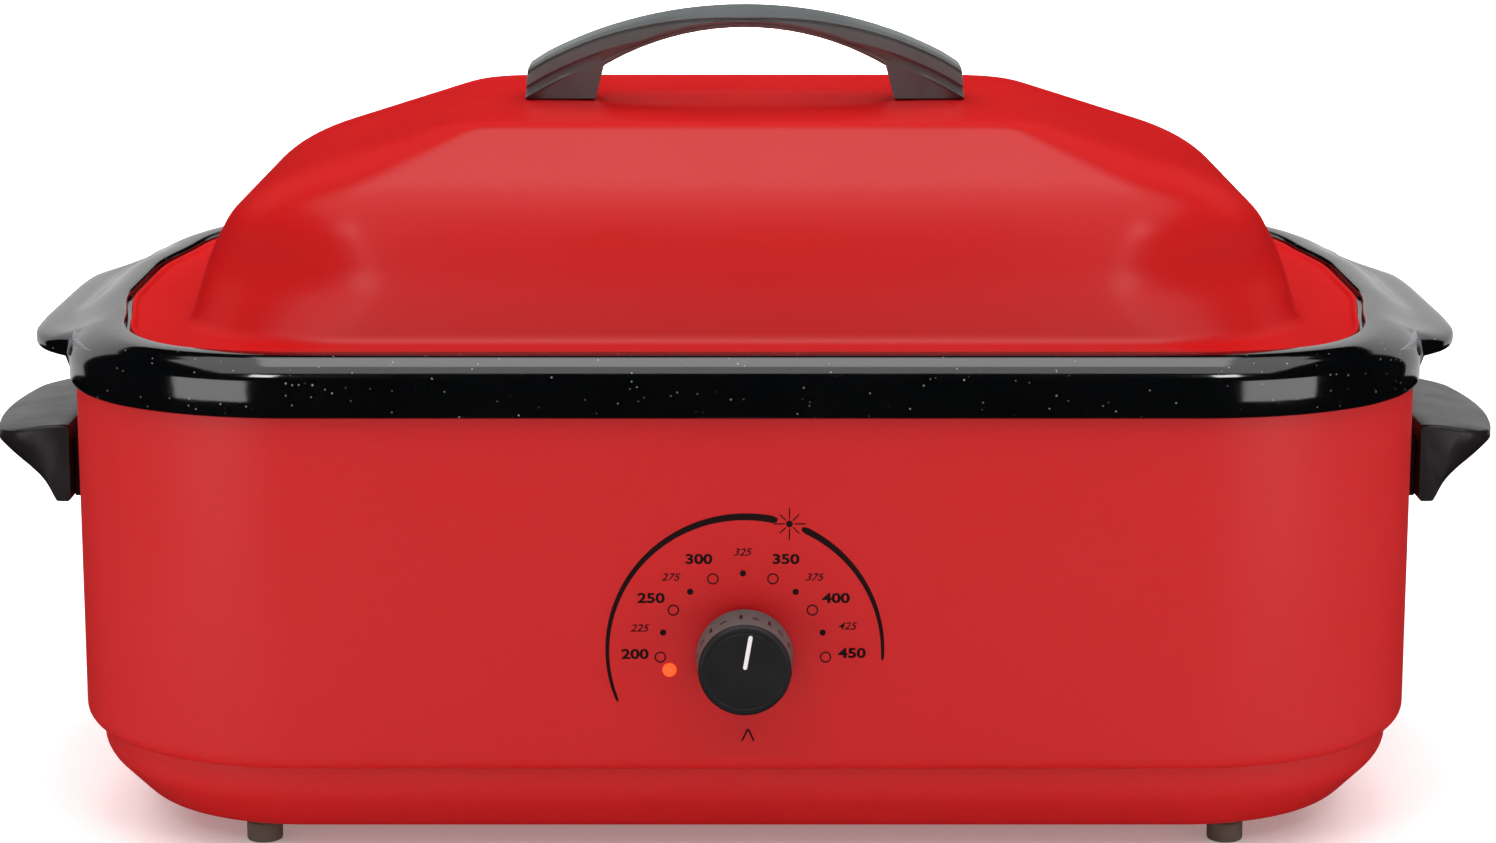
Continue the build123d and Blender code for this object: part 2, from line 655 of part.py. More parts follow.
# ----------------------------------------------------------------- cord_gland
# The bush that the mains cord enters by, in the back wall.
with BuildPart() as cord_gland:
    with Locations(back_plane):
        Cylinder(gland_flange_radius, gland_flange, align=upright)
        Cylinder(gland_neck_radius, shell_wall + gland_inside, align=(Align.CENTER, Align.CENTER, Align.MAX))
        Cylinder(gland_bore, 4 * (gland_flange + gland_inside), mode=Mode.SUBTRACT)
save(cord_gland.part, "cord_gland")

# ----------------------------------------------------------------- thermostat
bush_end = touch_gap + nut_height + bush_proud
with BuildPart() as thermostat_body:
    with BuildSketch(front_plane(0, dial_height, thermostat_front)):
        Rectangle(thermostat_size, thermostat_size)
    extrude(amount=-thermostat_depth)
    with BuildSketch(front_plane(0, dial_height, thermostat_front)):
        Circle(bush_radius)
    extrude(amount=thermostat_front - front + bush_end)
    with BuildSketch(front_plane(0, dial_height, thermostat_front + thermostat_bore)):
        Circle(shaft_radius + shaft_gap)
    extrude(amount=thermostat_bore + thermostat_front - front + bush_end, mode=Mode.SUBTRACT)
save(thermostat_body.part, "thermostat_body")

with BuildPart() as thermostat_plate:
    with BuildSketch(front_plane(0, dial_height, thermostat_front - touch_gap)):
        RectangleRounded(plate_size, plate_size, bush_radius)
        Circle(bush_radius + slip_gap, mode=Mode.SUBTRACT)
    extrude(amount=plate_wall)
save(thermostat_plate.part, "thermostat_plate")

with BuildPart() as thermostat_nut:
    with BuildSketch(front_plane(0, dial_height, front)):
        RegularPolygon(nut_across / 2, 6, major_radius=False)
        Circle(bush_radius + slip_gap, mode=Mode.SUBTRACT)
    extrude(amount=nut_height)
save(thermostat_nut.part, "thermostat_nut")

# ----------------------------------------------------------------------- knob
# The knob pushes onto the thermostat's shaft, where a spring clip grips it.
boss_back = bush_end + knob_boss_stand
shaft_front = knob_front - knob_face - shaft_end_gap
with BuildPart() as knob:
    with BuildSketch(front_plane(0, dial_height, front - knob_stand)):
        Circle(knob_back_radius - skirt_wall)
    extrude(amount=knob_length)
    with BuildSketch(front_plane(0, dial_height, front - knob_stand - skirt_length)):
        Circle(knob_front_radius)
    extrude(amount=knob_length - skirt_length)
    rim_edge = knob.edges().sort_by(Axis.Y)[0]
    fillet(rim_edge, radius=knob_edge_round)
    with BuildSketch(front_plane(0, dial_height, front - knob_stand)):
        Circle(knob_back_radius - skirt_wall - knob_wall)
    extrude(amount=knob_length - knob_face, mode=Mode.SUBTRACT)
    with BuildSketch(front_plane(0, dial_height, front - boss_back)):
        Circle(knob_boss_radius)
    extrude(amount=knob_front - boss_back - knob_face)
    with BuildSketch(front_plane(0, dial_height, front - boss_back)):
        Circle(shaft_radius + shaft_gap)
    extrude(amount=knob_front - boss_back - knob_face, mode=Mode.SUBTRACT)
    with BuildSketch(front_plane(0, dial_height, front - knob_front)):
        with Locations(Location((0, 0), -pointer_turn)):
            Rectangle(pointer_width, pointer_length, align=(Align.CENTER, Align.MIN))
    extrude(amount=-pointer_depth, mode=Mode.SUBTRACT)
save(knob.part, "knob")

with BuildPart() as knob_pointer:
    with BuildSketch(front_plane(0, dial_height, front - knob_front)):
        with Locations(Location((0, 0), -pointer_turn)):
            Rectangle(pointer_width, pointer_length, align=(Align.CENTER, Align.MIN))
    extrude(amount=-pointer_depth)
save(knob_pointer.part, "knob_pointer")

with BuildPart() as knob_skirt:
    with BuildSketch(front_plane(0, dial_height, front - knob_stand)):
        Circle(knob_back_radius)
        Circle(knob_back_radius - skirt_wall, mode=Mode.SUBTRACT)
    extrude(amount=skirt_length)
save(knob_skirt.part, "knob_skirt")

with BuildPart() as thermostat_shaft:
    with BuildSketch(front_plane(0, dial_height, thermostat_front + thermostat_bore - shaft_end_gap)):
        Circle(shaft_radius)
    extrude(amount=thermostat_front + thermostat_bore - shaft_end_gap - front + shaft_front)
    with BuildSketch(front_plane(0, dial_height, front - shaft_front)):
        with Locations((0, shaft_radius)):
            Rectangle(2 * shaft_radius, 2 * shaft_flat)
    extrude(amount=boss_back - shaft_front, mode=Mode.SUBTRACT)
save(thermostat_shaft.part, "thermostat_shaft")

with BuildPart() as knob_clip:
    with BuildSketch(front_plane(0, dial_height, front - shaft_front)):
        with Locations((0, shaft_radius - shaft_flat)):
            Rectangle(clip_width, clip_thickness, align=(Align.CENTER, Align.MIN))
    extrude(amount=-clip_length)
save(knob_clip.part, "knob_clip")

# ----------------------------------------------------------------------- lamp
lamp_z = dial_height - lamp_below_dial
with BuildPart() as lamp_lens:
    with BuildSketch(front_plane(lamp_x, lamp_z)):
        Circle(lamp_head_radius)
    extrude(amount=lamp_stand)
    fillet(lamp_lens.edges().sort_by(Axis.Y)[0], radius=lamp_stand / 2)
    with BuildSketch(front_plane(lamp_x, lamp_z)):
        Circle(lamp_radius)
    extrude(amount=-lamp_body_length / 2)
save(lamp_lens.part, "lamp_lens")

with BuildPart() as lamp_housing:
    with BuildSketch(front_plane(lamp_x, lamp_z, front + shell_wall)):
        Circle(lamp_body_radius)
    extrude(amount=-lamp_body_length)
    with BuildSketch(front_plane(lamp_x, lamp_z, front + shell_wall)):
        Circle(lamp_radius + slip_gap)
    extrude(amount=-lamp_body_length + lamp_body_wall, mode=Mode.SUBTRACT)
save(lamp_housing.part, "lamp_housing")

# ----------------------------------------------------------------------- rack
# Welded wire rack: a closed frame, cross bars, four feet and two lifting loops.
frame_x, frame_y = half_x - rack_inset, half_y - rack_inset
bar_pitch = 2 * (frame_x - bar_margin) / (bar_count - 1)
rack_z = bars_under + bar_wire
foot_bar_x = frame_x - bar_margin - rack_foot_bar * bar_pitch
with BuildPart() as rack:
    frame_path = outline(-rack_inset, rack_z).faces()[0].outer_wire()
    with BuildSketch(Plane(origin=(0, -frame_y, rack_z), z_dir=(1, 0, 0))):
        Circle(rack_wire)
    sweep(path=frame_path)
    with Locations((0, 0, rack_z)):
        with GridLocations(bar_pitch, 1, bar_count, 1):
            Cylinder(bar_wire, 2 * frame_y, rotation=(90, 0, 0))
    with Locations((0, 0, pan_floor + lift_gap)):
        with GridLocations(2 * foot_bar_x, 2 * rack_foot_y, 2, 2):
            Cylinder(rack_foot_wire, rack_z - pan_floor - lift_gap, align=upright)
    for side in sides.values():
        x = side * frame_x
        high = rack_z + loop_height
        with BuildLine() as loop_path:
            FilletPolyline(
                (x, -loop_width / 2, rack_z),
                (x, -loop_width / 2, high),
                (x, loop_width / 2, high),
                (x, loop_width / 2, rack_z),
                radius=loop_bend,
            )
        with BuildSketch(Plane.XY.offset(rack_z)):
            with Locations((x, -loop_width / 2)):
                Circle(rack_wire)
        sweep(path=loop_path.wires()[0])
save(rack.part, "rack")
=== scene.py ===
"""Looks of an electric roaster oven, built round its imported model.

Sizes are millimetres, measured from the middle of the body at table height:
+X to the right of a person who faces the knob, +Y to the back, +Z up. A seat
matrix turns them into the model's own metres.
"""

from __future__ import annotations

import json
import logging
import math
from dataclasses import astuple, dataclass, replace
from enum import Enum
from typing import Any, Sequence

import bmesh
import bpy
from mathutils import Matrix, Vector

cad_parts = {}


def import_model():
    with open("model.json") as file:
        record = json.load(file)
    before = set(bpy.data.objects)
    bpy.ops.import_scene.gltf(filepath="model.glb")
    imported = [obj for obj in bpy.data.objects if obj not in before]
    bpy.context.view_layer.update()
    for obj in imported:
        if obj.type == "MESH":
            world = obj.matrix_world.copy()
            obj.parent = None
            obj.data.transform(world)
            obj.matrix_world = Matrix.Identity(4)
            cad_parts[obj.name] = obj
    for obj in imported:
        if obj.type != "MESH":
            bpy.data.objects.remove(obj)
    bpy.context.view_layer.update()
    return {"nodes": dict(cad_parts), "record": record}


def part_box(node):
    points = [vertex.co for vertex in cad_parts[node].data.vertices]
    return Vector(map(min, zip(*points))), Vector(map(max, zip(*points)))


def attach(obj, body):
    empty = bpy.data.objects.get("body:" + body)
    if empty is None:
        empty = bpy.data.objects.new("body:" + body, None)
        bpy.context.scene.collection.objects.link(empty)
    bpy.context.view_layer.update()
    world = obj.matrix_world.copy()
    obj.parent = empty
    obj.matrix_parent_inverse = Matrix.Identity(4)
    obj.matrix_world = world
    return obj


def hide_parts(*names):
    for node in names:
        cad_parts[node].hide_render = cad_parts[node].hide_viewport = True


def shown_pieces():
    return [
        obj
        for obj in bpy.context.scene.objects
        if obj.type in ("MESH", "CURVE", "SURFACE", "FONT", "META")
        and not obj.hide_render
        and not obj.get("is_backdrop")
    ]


Paint = bpy.types.Material
Piece = bpy.types.Object
Tree = bpy.types.NodeTree
LOG = logging.getLogger("roaster_oven")
MM = 0.001
WHITE = (1.0, 1.0, 1.0, 1.0)
COLOUR_STOPS = (0.35, 0.7)  # noise below the first is all colour, above the second all tone
WEAR_SHARE = 0.6  # spread of the uneven roughness against that of the colour
WEAR_SPAN = (0.3, 0.7)  # the noise between which the roughness goes from least to most
FINE_MERGE = 1e-6  # doubles nearer than this, in metres, become one
GLYPH_MERGE = 1e-4  # the same for a number's outline, in millimetres
KNOB_AXIS = 83.0  # above the table, in millimetres


class Rides(Enum):
    """The bodies of the oven that a piece can move with."""

    OVEN = "oven"
    COOKWELL = "cookwell"
    LID = "lid"
    RACK = "rack"
    KNOB = "knob"


# ------------------------------------------------------------------ materials
def linear(code: str) -> tuple[float, float, float, float]:
    """Turns six hex digits of sRGB into a linear colour with an alpha of one."""
    channels = [int(code[i : i + 2], 16) / 255 for i in (0, 2, 4)]
    red, green, blue = (c / 12.92 if c <= 0.04045 else ((c + 0.055) / 1.055) ** 2.4 for c in channels)
    return (red, green, blue, 1.0)


def assign(thing: Any, **settings: Any) -> None:
    """Sets properties of something of Blender's by their names, in the order given."""
    for name, value in settings.items():
        setattr(thing, name, value)


def feed(tree: Tree, node: Any, links: dict[Any, Any]) -> None:
    """Gives a node's inputs, by name or number, an output socket or a plain value each."""
    for name, value in links.items():
        if isinstance(value, bpy.types.NodeSocket):
            tree.links.new(value, node.inputs[name])
        else:
            node.inputs[name].default_value = value


def add_node(tree: Tree, kind: str, links: dict[Any, Any] | None = None, **settings: Any) -> Any:
    """Adds a node of a type, such as "ShaderNodeBump", with its inputs' links and its settings."""
    node = tree.nodes.new(kind)
    assign(node, **settings)
    feed(tree, node, links or {})
    return node


def noise(tree: Tree, where: Any, size: float, detail: float, distortion: float = 0.0) -> Any:
    """Adds noise and returns its value.

    Args:
        tree: The node tree.
        where: Position on the piece.
        size: Distance between its humps, in millimetres.
        detail: Octaves of finer humps on them.
        distortion: How far the humps are tangled.
    """
    links = {"Vector": where, "Scale": 1 / (size * MM), "Detail": detail, "Distortion": distortion}
    return add_node(tree, "ShaderNodeTexNoise", links).outputs["Fac"]


def remap(tree: Tree, value: Any, span: Sequence[float], onto: Sequence[float]) -> Any:
    """Maps a value from one span onto another and returns the output."""
    ends = {"From Min": span[0], "From Max": span[1], "To Min": onto[0], "To Max": onto[1]}
    return add_node(tree, "ShaderNodeMapRange", {"Value": value, **ends}).outputs["Result"]


@dataclass(frozen=True)
class Grain:
    """A fine unevenness of a surface.

    Attributes:
        size: Distance between its humps, in millimetres.
        height: Height of the humps, in millimetres.
        detail: Octaves of finer humps on them.
    """

    size: float
    height: float
    detail: float = 2.0


@dataclass(frozen=True)
class Finish:
    """How one real material and its surface look.

    Attributes:
        name: Name of the material.
        colour: sRGB hex code of its body colour.
        tone: sRGB hex code of the colour it wanders to.
        rough: Roughness.
        sway: How far the roughness wanders, up and down.
        metallic: One for a metal.
        ior: Index of refraction.
        specular: Strength of the surface's own gloss.
        patch: Distance over which colour and roughness wander, in millimetres.
        grains: Uneven layers, each with its own size and height.
    """

    name: str
    colour: str
    tone: str
    rough: float
    sway: float = 0.03
    metallic: float = 0.0
    ior: float = 1.5
    specular: float = 0.5
    patch: float = 60.0
    grains: tuple[Grain, ...] = ()

    def body_colour(self, tree: Tree, where: Any) -> Any:
        """Returns the base colour, wandering between colour and tone."""
        node = add_node(tree, "ShaderNodeValToRGB", {"Fac": noise(tree, where, self.patch, 3.0)})
        stops = zip(node.color_ramp.elements, COLOUR_STOPS, (self.colour, self.tone))
        for stop, place, code in stops:
            stop.position, stop.color = place, linear(code)
        return node.outputs["Color"]

    def relief(self, tree: Tree, where: Any) -> Any:
        """Returns the normal that all grains bend, or None without a grain."""
        normal = None
        for grain in self.grains:
            humps = noise(tree, where, grain.size, grain.detail)
            links = {"Height": humps, "Distance": grain.height * MM, "Strength": 1.0}
            if normal is not None:
                links["Normal"] = normal
            normal = add_node(tree, "ShaderNodeBump", links).outputs["Normal"]
        return normal

    def make(self) -> Paint:
        """Builds the material with its nodes and returns it."""
        material = bpy.data.materials.new(self.name)
        material.use_nodes = True
        tree = material.node_tree
        where = add_node(tree, "ShaderNodeTexCoord").outputs["Object"]
        cloud = noise(tree, where, self.patch * WEAR_SHARE, 4.0)
        rough = remap(tree, cloud, WEAR_SPAN, (self.rough - self.sway, self.rough + self.sway))
        colour, normal = self.body_colour(tree, where), self.relief(tree, where)
        links = {"Roughness": rough, "Base Color": colour, "Metallic": self.metallic}
        if normal is not None:
            links["Normal"] = normal
        if not self.metallic:
            links |= {"IOR": self.ior, "Specular IOR Level": self.specular}
        feed(tree, tree.nodes["Principled BSDF"], links)
        return material


@dataclass(frozen=True)
class SpeckledEnamel(Finish):
    """Black enamel fired with pale specks, as on a roasting pan.

    Attributes:
        speck_colour: sRGB hex code of the specks.
        speck_pitch: Mean distance between specks, in millimetres.
        speck_radius: Largest radius of a speck, in millimetres.
        speckless: Share of the places that stay without a speck.
    """

    speck_colour: str = "9a9ca0"
    speck_pitch: float = 2.4
    speck_radius: float = 0.34
    speckless: float = 0.35

    def body_colour(self, tree: Tree, where: Any) -> Any:
        """Returns black with specks of uneven size."""
        ground = super().body_colour(tree, where)
        scale = 1 / (self.speck_pitch * MM)
        cells = add_node(tree, "ShaderNodeTexVoronoi", {"Vector": where, "Scale": scale})
        size = add_node(tree, "ShaderNodeSeparateColor", {"Color": cells.outputs["Color"]}).outputs["Red"]
        radius = remap(tree, size, (self.speckless, 1.0), (0.0, self.speck_radius / self.speck_pitch))
        ends = {0: cells.outputs["Distance"], 1: radius}
        inside = add_node(tree, "ShaderNodeMath", ends, operation="LESS_THAN").outputs["Value"]
        layers = {"Factor": inside, "A": ground, "B": linear(self.speck_colour)}
        return add_node(tree, "ShaderNodeMix", layers, data_type="RGBA").outputs["Result"]


@dataclass(frozen=True)
class Wool(Finish):
    """Glass-wool blanket: tangled fibres with no gloss.

    Attributes:
        fibre: Distance between the fibres' humps, in millimetres.
        tangle: How far the fibres are tangled.
        height: Height of the humps, in millimetres.
    """

    fibre: float = 3.0
    tangle: float = 3.0
    height: float = 0.8

    def relief(self, tree: Tree, where: Any) -> Any:
        """Returns the normal of long tangled fibres."""
        fibres = noise(tree, where, self.fibre, 8.0, self.tangle)
        links = {"Height": fibres, "Distance": self.height * MM}
        return add_node(tree, "ShaderNodeBump", links).outputs["Normal"]


@dataclass(frozen=True)
class Glow(Finish):
    """Clear coloured plastic lit from behind.

    Attributes:
        light: sRGB hex code of the light.
        power: Strength of the light.
    """

    light: str = "ff5a2a"
    power: float = 1.0

    def make(self) -> Paint:
        """Builds the material and sets its light."""
        material = super().make()
        tree = material.node_tree
        links = {"Emission Color": linear(self.light), "Emission Strength": self.power}
        feed(tree, tree.nodes["Principled BSDF"], links)
        return material


# Baked porcelain enamel over pressed steel: glassy, with a faint orange peel
# that softens the edges of what it reflects.
RED_ENAMEL = Finish(
    "red porcelain enamel, fired", "c91214", "c71113", 0.33, sway=0.02, specular=0.32, patch=90.0,
    grains=(Grain(9.0, 0.012, 1.0), Grain(1.6, 0.0016, 1.0)),
)
# The same enamel on the body, a little duller from its thicker coat.
BODY_ENAMEL = replace(
    RED_ENAMEL, name="red enamel on the body wall, sprayed and baked", colour="c81114", tone="c71013",
    rough=0.4, specular=0.36, grains=(Grain(14.0, 0.01, 1.0), Grain(1.8, 0.002, 1.0)),
)
# Speckled enamel: near-black glass with pale specks, very shiny, its
# surface slightly wavy so that the edges of reflections wobble.
BLACK_ENAMEL = SpeckledEnamel(
    "black speckled porcelain enamel, fired", "050607", "08090a", 0.1, sway=0.02, ior=1.85, patch=40.0,
    grains=(Grain(7.0, 0.035, 1.0),),
)
# Moulded phenolic for the handles: brown-black, satin, with a fine moulding grain.
HANDLE_PLASTIC = Finish(
    "black phenolic, moulded", "191516", "211c1d", 0.33, sway=0.04, ior=1.55, patch=25.0,
    grains=(Grain(0.9, 0.004),),
)
# The lid's handle is the same black moulding resin, its colour painted a lighter grey: a painted sheen that
# stands in for the light its satin faces catch.
SHEEN_GREY_PLASTIC = replace(
    HANDLE_PLASTIC, name="black phenolic, painted grey sheen", colour="626667", tone="595e5e", rough=0.4
)
# The knob is a softer, duller black with a fine spark-eroded texture.
KNOB_PLASTIC = Finish(
    "black polyamide, spark-textured", "1b191c", "211f22", 0.5, sway=0.04, patch=12.0,
    grains=(Grain(0.5, 0.012, 3.0),),
)
# Grey printed sleeve behind the knob's face, satin.
SKIRT_GREY = Finish(
    "warm grey polyamide, satin", "5a6b69", "516260", 0.42, patch=8.0, grains=(Grain(0.6, 0.006),)
)
# White filled groove on the knob's face, matt paint.
POINTER_WHITE = Finish("white filler paint, matt", "f1eeee", "e6e2e2", 0.55, patch=5.0)
# Screen-printed black ink: a thin satin film.
PRINT_BLACK = Finish("black screen ink, baked", "1d0507", "240709", 0.45, patch=20.0)
# Cast rubber for the feet, grey-brown and dull.
FOOT_RUBBER = Finish(
    "grey-brown rubber, moulded", "6a5d52", "5c5148", 0.75, patch=9.0, grains=(Grain(0.8, 0.03, 3.0),)
)
# Hot-dip aluminised sheet: pale, with a soft spangle. Its dull grain scatters
# more light than it mirrors, so it is only part metallic.
ALUMINISED = Finish(
    "aluminised steel sheet", "b9bcc0", "a5a8ac", 0.34, sway=0.08, metallic=0.4, patch=18.0,
    grains=(Grain(2.0, 0.01, 3.0),),
)
# Band elements: steel jackets that have run hot, straw to brown.
BAND_STEEL = Finish(
    "heat-tinted steel band", "8d8378", "6d5f52", 0.42, sway=0.08, metallic=1.0, patch=30.0,
    grains=(Grain(0.7, 0.01),),
)
# Zinc-plated screws, studs and brackets.
PLATED = Finish(
    "zinc-plated steel", "b4b7b8", "9fa5a6", 0.3, sway=0.05, metallic=1.0, patch=6.0,
    grains=(Grain(0.4, 0.004),),
)
# Steatite ceramic blocks at the bands' ends, chalky and fine-pored.
CERAMIC = Finish(
    "steatite ceramic, pressed", "e4ddcf", "d6cdbd", 0.6, patch=7.0, grains=(Grain(0.5, 0.01, 4.0),)
)
# Braided glass sleeving on the leads.
SLEEVING = Finish("glass-fibre sleeving", "dcd3bd", "c6bba2", 0.7, patch=4.0, grains=(Grain(0.6, 0.05),))
# Needled glass wool, pale yellow and without gloss.
GLASS_WOOL = Wool("glass wool, needled", "d9cf9f", "c3b681", 0.95, patch=16.0)
# Thermostat and lamp housing: glass-filled resin, dark and dry.
RESIN = Finish(
    "glass-filled resin, moulded", "2b2724", "3a342f", 0.55, patch=9.0, grains=(Grain(0.7, 0.01, 3.0),)
)
# Nylon strain-relief bush, black and slightly waxy.
NYLON = Finish("black nylon, moulded", "121214", "1a1a1c", 0.42, patch=9.0, grains=(Grain(0.6, 0.004),))
# Bright chromium on drawn wire.
CHROME = Finish("chrome-plated wire", "d5d8da", "c9cccf", 0.1, sway=0.02, metallic=1.0, patch=20.0)
# The indicator lamp's lens, lit from behind.
LAMP = Glow("amber lens, lit", "e8401c", "f0602c", 0.25, patch=1.6, light="ff4a1c", power=1.2)

# The finish of each of the record's material slots, then those of the print and
# of the lid's handle, which have no slot of their own.
FINISHES = {
    "body_enamel": BODY_ENAMEL,
    "lid_enamel": RED_ENAMEL,
    "cookwell_enamel": BLACK_ENAMEL,
    "handle_plastic": HANDLE_PLASTIC,
    "knob_plastic": KNOB_PLASTIC,
    "skirt_plastic": SKIRT_GREY,
    "pointer_white": POINTER_WHITE,
    "lamp_amber": LAMP,
    "foot_rubber": FOOT_RUBBER,
    "aluminised_steel": ALUMINISED,
    "band_steel": BAND_STEEL,
    "ceramic": CERAMIC,
    "lead_sleeve": SLEEVING,
    "glass_wool": GLASS_WOOL,
    "plated_steel": PLATED,
    "thermostat_resin": RESIN,
    "gland_nylon": NYLON,
    "rack_chrome": CHROME,
    "print_ink": PRINT_BLACK,
    # The lid handle's lighter grey is painted sheen on black phenolic.
    "sheen_grey_handle_plastic": SHEEN_GREY_PLASTIC,
}
DARK_FINISHES = ("cookwell_enamel", "handle_plastic", "knob_plastic", "sheen_grey_handle_plastic")


# ------------------------------------------------------------------- outlines
@dataclass(frozen=True)
class Cut:
    """How finely an outline is cut into edges.

    Attributes:
        arc: Edges in each corner.
        long: Edges in each run along X.
        short: Edges in each run along Y.
    """

    arc: int = 20
    long: int = 24
    short: int = 16


@dataclass(frozen=True)
class Plan:
    """A level outline with rounded corners.

    Attributes:
        half_x: Half its length.
        half_y: Half its depth.
        corner: Radius of its corners.
        level: Height above the table.
        oval: Share by which it is drawn to an ellipse.
    """

    half_x: float
    half_y: float
    corner: float
    level: float
    oval: float = 0.0

    def toward(self, other: Plan, share: float) -> Plan:
        """Returns the outline that lies the given share of the way to another."""
        return Plan(*(a + (b - a) * share for a, b in zip(astuple(self), astuple(other))))

    def points(self, cut: Cut) -> list[Vector]:
        """Cuts the outline into points.

        Args:
            cut: How finely.

        Returns:
            The points, anticlockwise from the middle of the right end's corner.
        """
        run_x, run_y = self.half_x - self.corner, self.half_y - self.corner
        signs = ((1, 1), (-1, 1), (-1, -1), (1, -1))
        spots: list[Vector] = []
        for quarter, (side_x, side_y) in enumerate(signs):
            for step in range(cut.arc):
                angle = math.pi / 2 * (quarter + step / cut.arc)
                spots.append(self._spot(side_x * run_x, side_y * run_y, angle))
            angle = math.pi / 2 * (quarter + 1)
            next_x, next_y = signs[(quarter + 1) % 4]
            edges = cut.short if quarter % 2 else cut.long
            for step in range(edges):
                share = step / edges
                middle_x = (side_x + (next_x - side_x) * share) * run_x
                middle_y = (side_y + (next_y - side_y) * share) * run_y
                spots.append(self._spot(middle_x, middle_y, angle))
        return spots

    def _spot(self, middle_x: float, middle_y: float, angle: float) -> Vector:
        """Returns the point at an angle round a corner's middle, drawn towards the ellipse."""
        x = middle_x + self.corner * math.cos(angle)
        y = middle_y + self.corner * math.sin(angle)
        angle = math.atan2(y / self.half_y, x / self.half_x)
        round_x, round_y = self.half_x * math.cos(angle), self.half_y * math.sin(angle)
        return Vector((x + (round_x - x) * self.oval, y + (round_y - y) * self.oval, self.level))


@dataclass(frozen=True)
class Station:
    """One outline of a pressing, with how softly the sheet turns there.

    Attributes:
        plan: The outline.
        before: Share of the run before it that the turn takes.
        after: Share of the run after it.
        steps: Rings in the turn.
    """

    plan: Plan
    before: float = 0.0
    after: float = 0.0
    steps: int = 6


def ease(share: float) -> float:
    """Returns a share kept between nought and one and eased at both ends."""
    share = min(1.0, max(0.0, share))
    return share * share * (3 - 2 * share)


def covered(value: float, start: float, run: float) -> float:
    """Returns how much of a run a value has covered from its start, from nought to one."""
    return min(1.0, max(0.0, (value - start) / run))


def end_bow(spot: Vector) -> float:
    """Returns how far the ends of the rim and of the lid's flange draw in at a spot.

    The ends are straight at their middle, draw in most at the roots of the
    corners and fade out round the corners to the long sides.
    """
    straight, deepest, spread, widest = 30.0, 105.0, 57.0, 8.3
    fade_start, fade_run = 120.0, 60.0
    depth = abs(spot.y)
    if depth < deepest:
        bow = ease((depth - straight) / (deepest - straight))
    else:
        bow = max(0.0, 1 - ((depth - deepest) / spread) ** 2)
    return widest * bow * covered(abs(spot.x), fade_start, fade_run)


def rounded_run(stations: Sequence[Station]) -> list[Plan]:
    """Joins stations, in order, with straight runs and soft turns into the rings to draw."""
    rings: list[Plan] = []
    for index, station in enumerate(stations):
        if not station.before or index in (0, len(stations) - 1):
            rings.append(station.plan)
            continue
        start = station.plan.toward(stations[index - 1].plan, station.before)
        end = station.plan.toward(stations[index + 1].plan, station.after)
        for step in range(station.steps + 1):
            share = step / station.steps
            inward = start.toward(station.plan, share)
            outward = station.plan.toward(end, share)
            rings.append(inward.toward(outward, share))
    return rings


def circle(radius: float, level: float, count: int = 96) -> list[Vector]:
    """Returns a ring of points round the local Z axis, in millimetres."""
    turns = (2 * math.pi * step / count for step in range(count))
    return [Vector((radius * math.cos(turn), radius * math.sin(turn), level)) for turn in turns]


# ------------------------------------------------------------------- modelling
class Pressing:
    """A sheet or moulding drawn from one closed ring of edges to the next."""

    def __init__(self, name: str, first: Sequence[Vector], seat: Matrix) -> None:
        """Starts the piece from its first ring.

        Args:
            name: Name of the piece.
            first: Points of the first ring, in the piece's millimetres.
            seat: Turns those points into the model's metres.
        """
        bpy.ops.object.select_all(action="DESELECT")
        bpy.ops.mesh.primitive_circle_add(vertices=len(first), radius=1)
        self.piece = bpy.context.object
        self.piece.name = name
        self.piece.data.name = name
        self.seat = seat
        bpy.ops.object.mode_set(mode="EDIT")
        bpy.ops.mesh.select_mode(type="EDGE")
        mesh = bmesh.from_edit_mesh(self.piece.data)
        order = mesh.verts.layers.int.new("order")
        mesh.verts.ensure_lookup_table()
        for number, vertex in enumerate(mesh.verts):
            vertex[order] = number
        self._lay(first)

    def _lay(self, points: Sequence[Vector]) -> None:
        """Lays the selected ring on the given points."""
        mesh = bmesh.from_edit_mesh(self.piece.data)
        order = mesh.verts.layers.int["order"]
        for vertex in mesh.verts:
            if vertex.select:
                vertex.co = self.seat @ points[vertex[order]]
        bmesh.update_edit_mesh(self.piece.data)

    def draw(self, rings: Sequence[Sequence[Vector]]) -> None:
        """Extrudes the open ring to each of the given rings in turn."""
        for ring in rings:
            bpy.ops.mesh.extrude_edges_move()
            self._lay(ring)

    def close(self) -> None:
        """Fills the open ring with a face."""
        bpy.ops.mesh.edge_face_add()

    def finish(self, wall: float, angle: float) -> Piece:
        """Gives the sheet its thickness in millimetres and its smooth shading up to an angle."""
        close_up(FINE_MERGE)
        if wall:
            apply_modifier(self.piece, "SOLIDIFY", thickness=wall * MM, offset=-1.0, use_even_offset=True)
        smooth(self.piece, angle)
        return self.piece


def pick(*pieces: Piece) -> None:
    """Selects just these pieces and makes the first one active."""
    bpy.ops.object.select_all(action="DESELECT")
    for piece in pieces:
        piece.select_set(True)
    bpy.context.view_layer.objects.active = pieces[0] if pieces else None


def close_up(threshold: float) -> None:
    """Merges the edited mesh's doubles, turns its faces outwards and leaves edit mode."""
    bpy.ops.mesh.select_all(action="SELECT")
    bpy.ops.mesh.remove_doubles(threshold=threshold)
    bpy.ops.mesh.normals_make_consistent(inside=False)
    bpy.ops.object.mode_set(mode="OBJECT")


def apply_modifier(piece: Piece, kind: str, **settings: Any) -> None:
    """Adds a modifier, such as "BEVEL", to a piece with these settings and applies it."""
    pick(piece)
    modifier = piece.modifiers.new(kind.title(), kind)
    assign(modifier, **settings)
    bpy.ops.object.modifier_apply(modifier=modifier.name)


def smooth(piece: Piece, angle: float) -> None:
    """Shades a piece smooth up to an angle in degrees."""
    pick(piece)
    bpy.ops.object.shade_smooth_by_angle(angle=math.radians(angle))


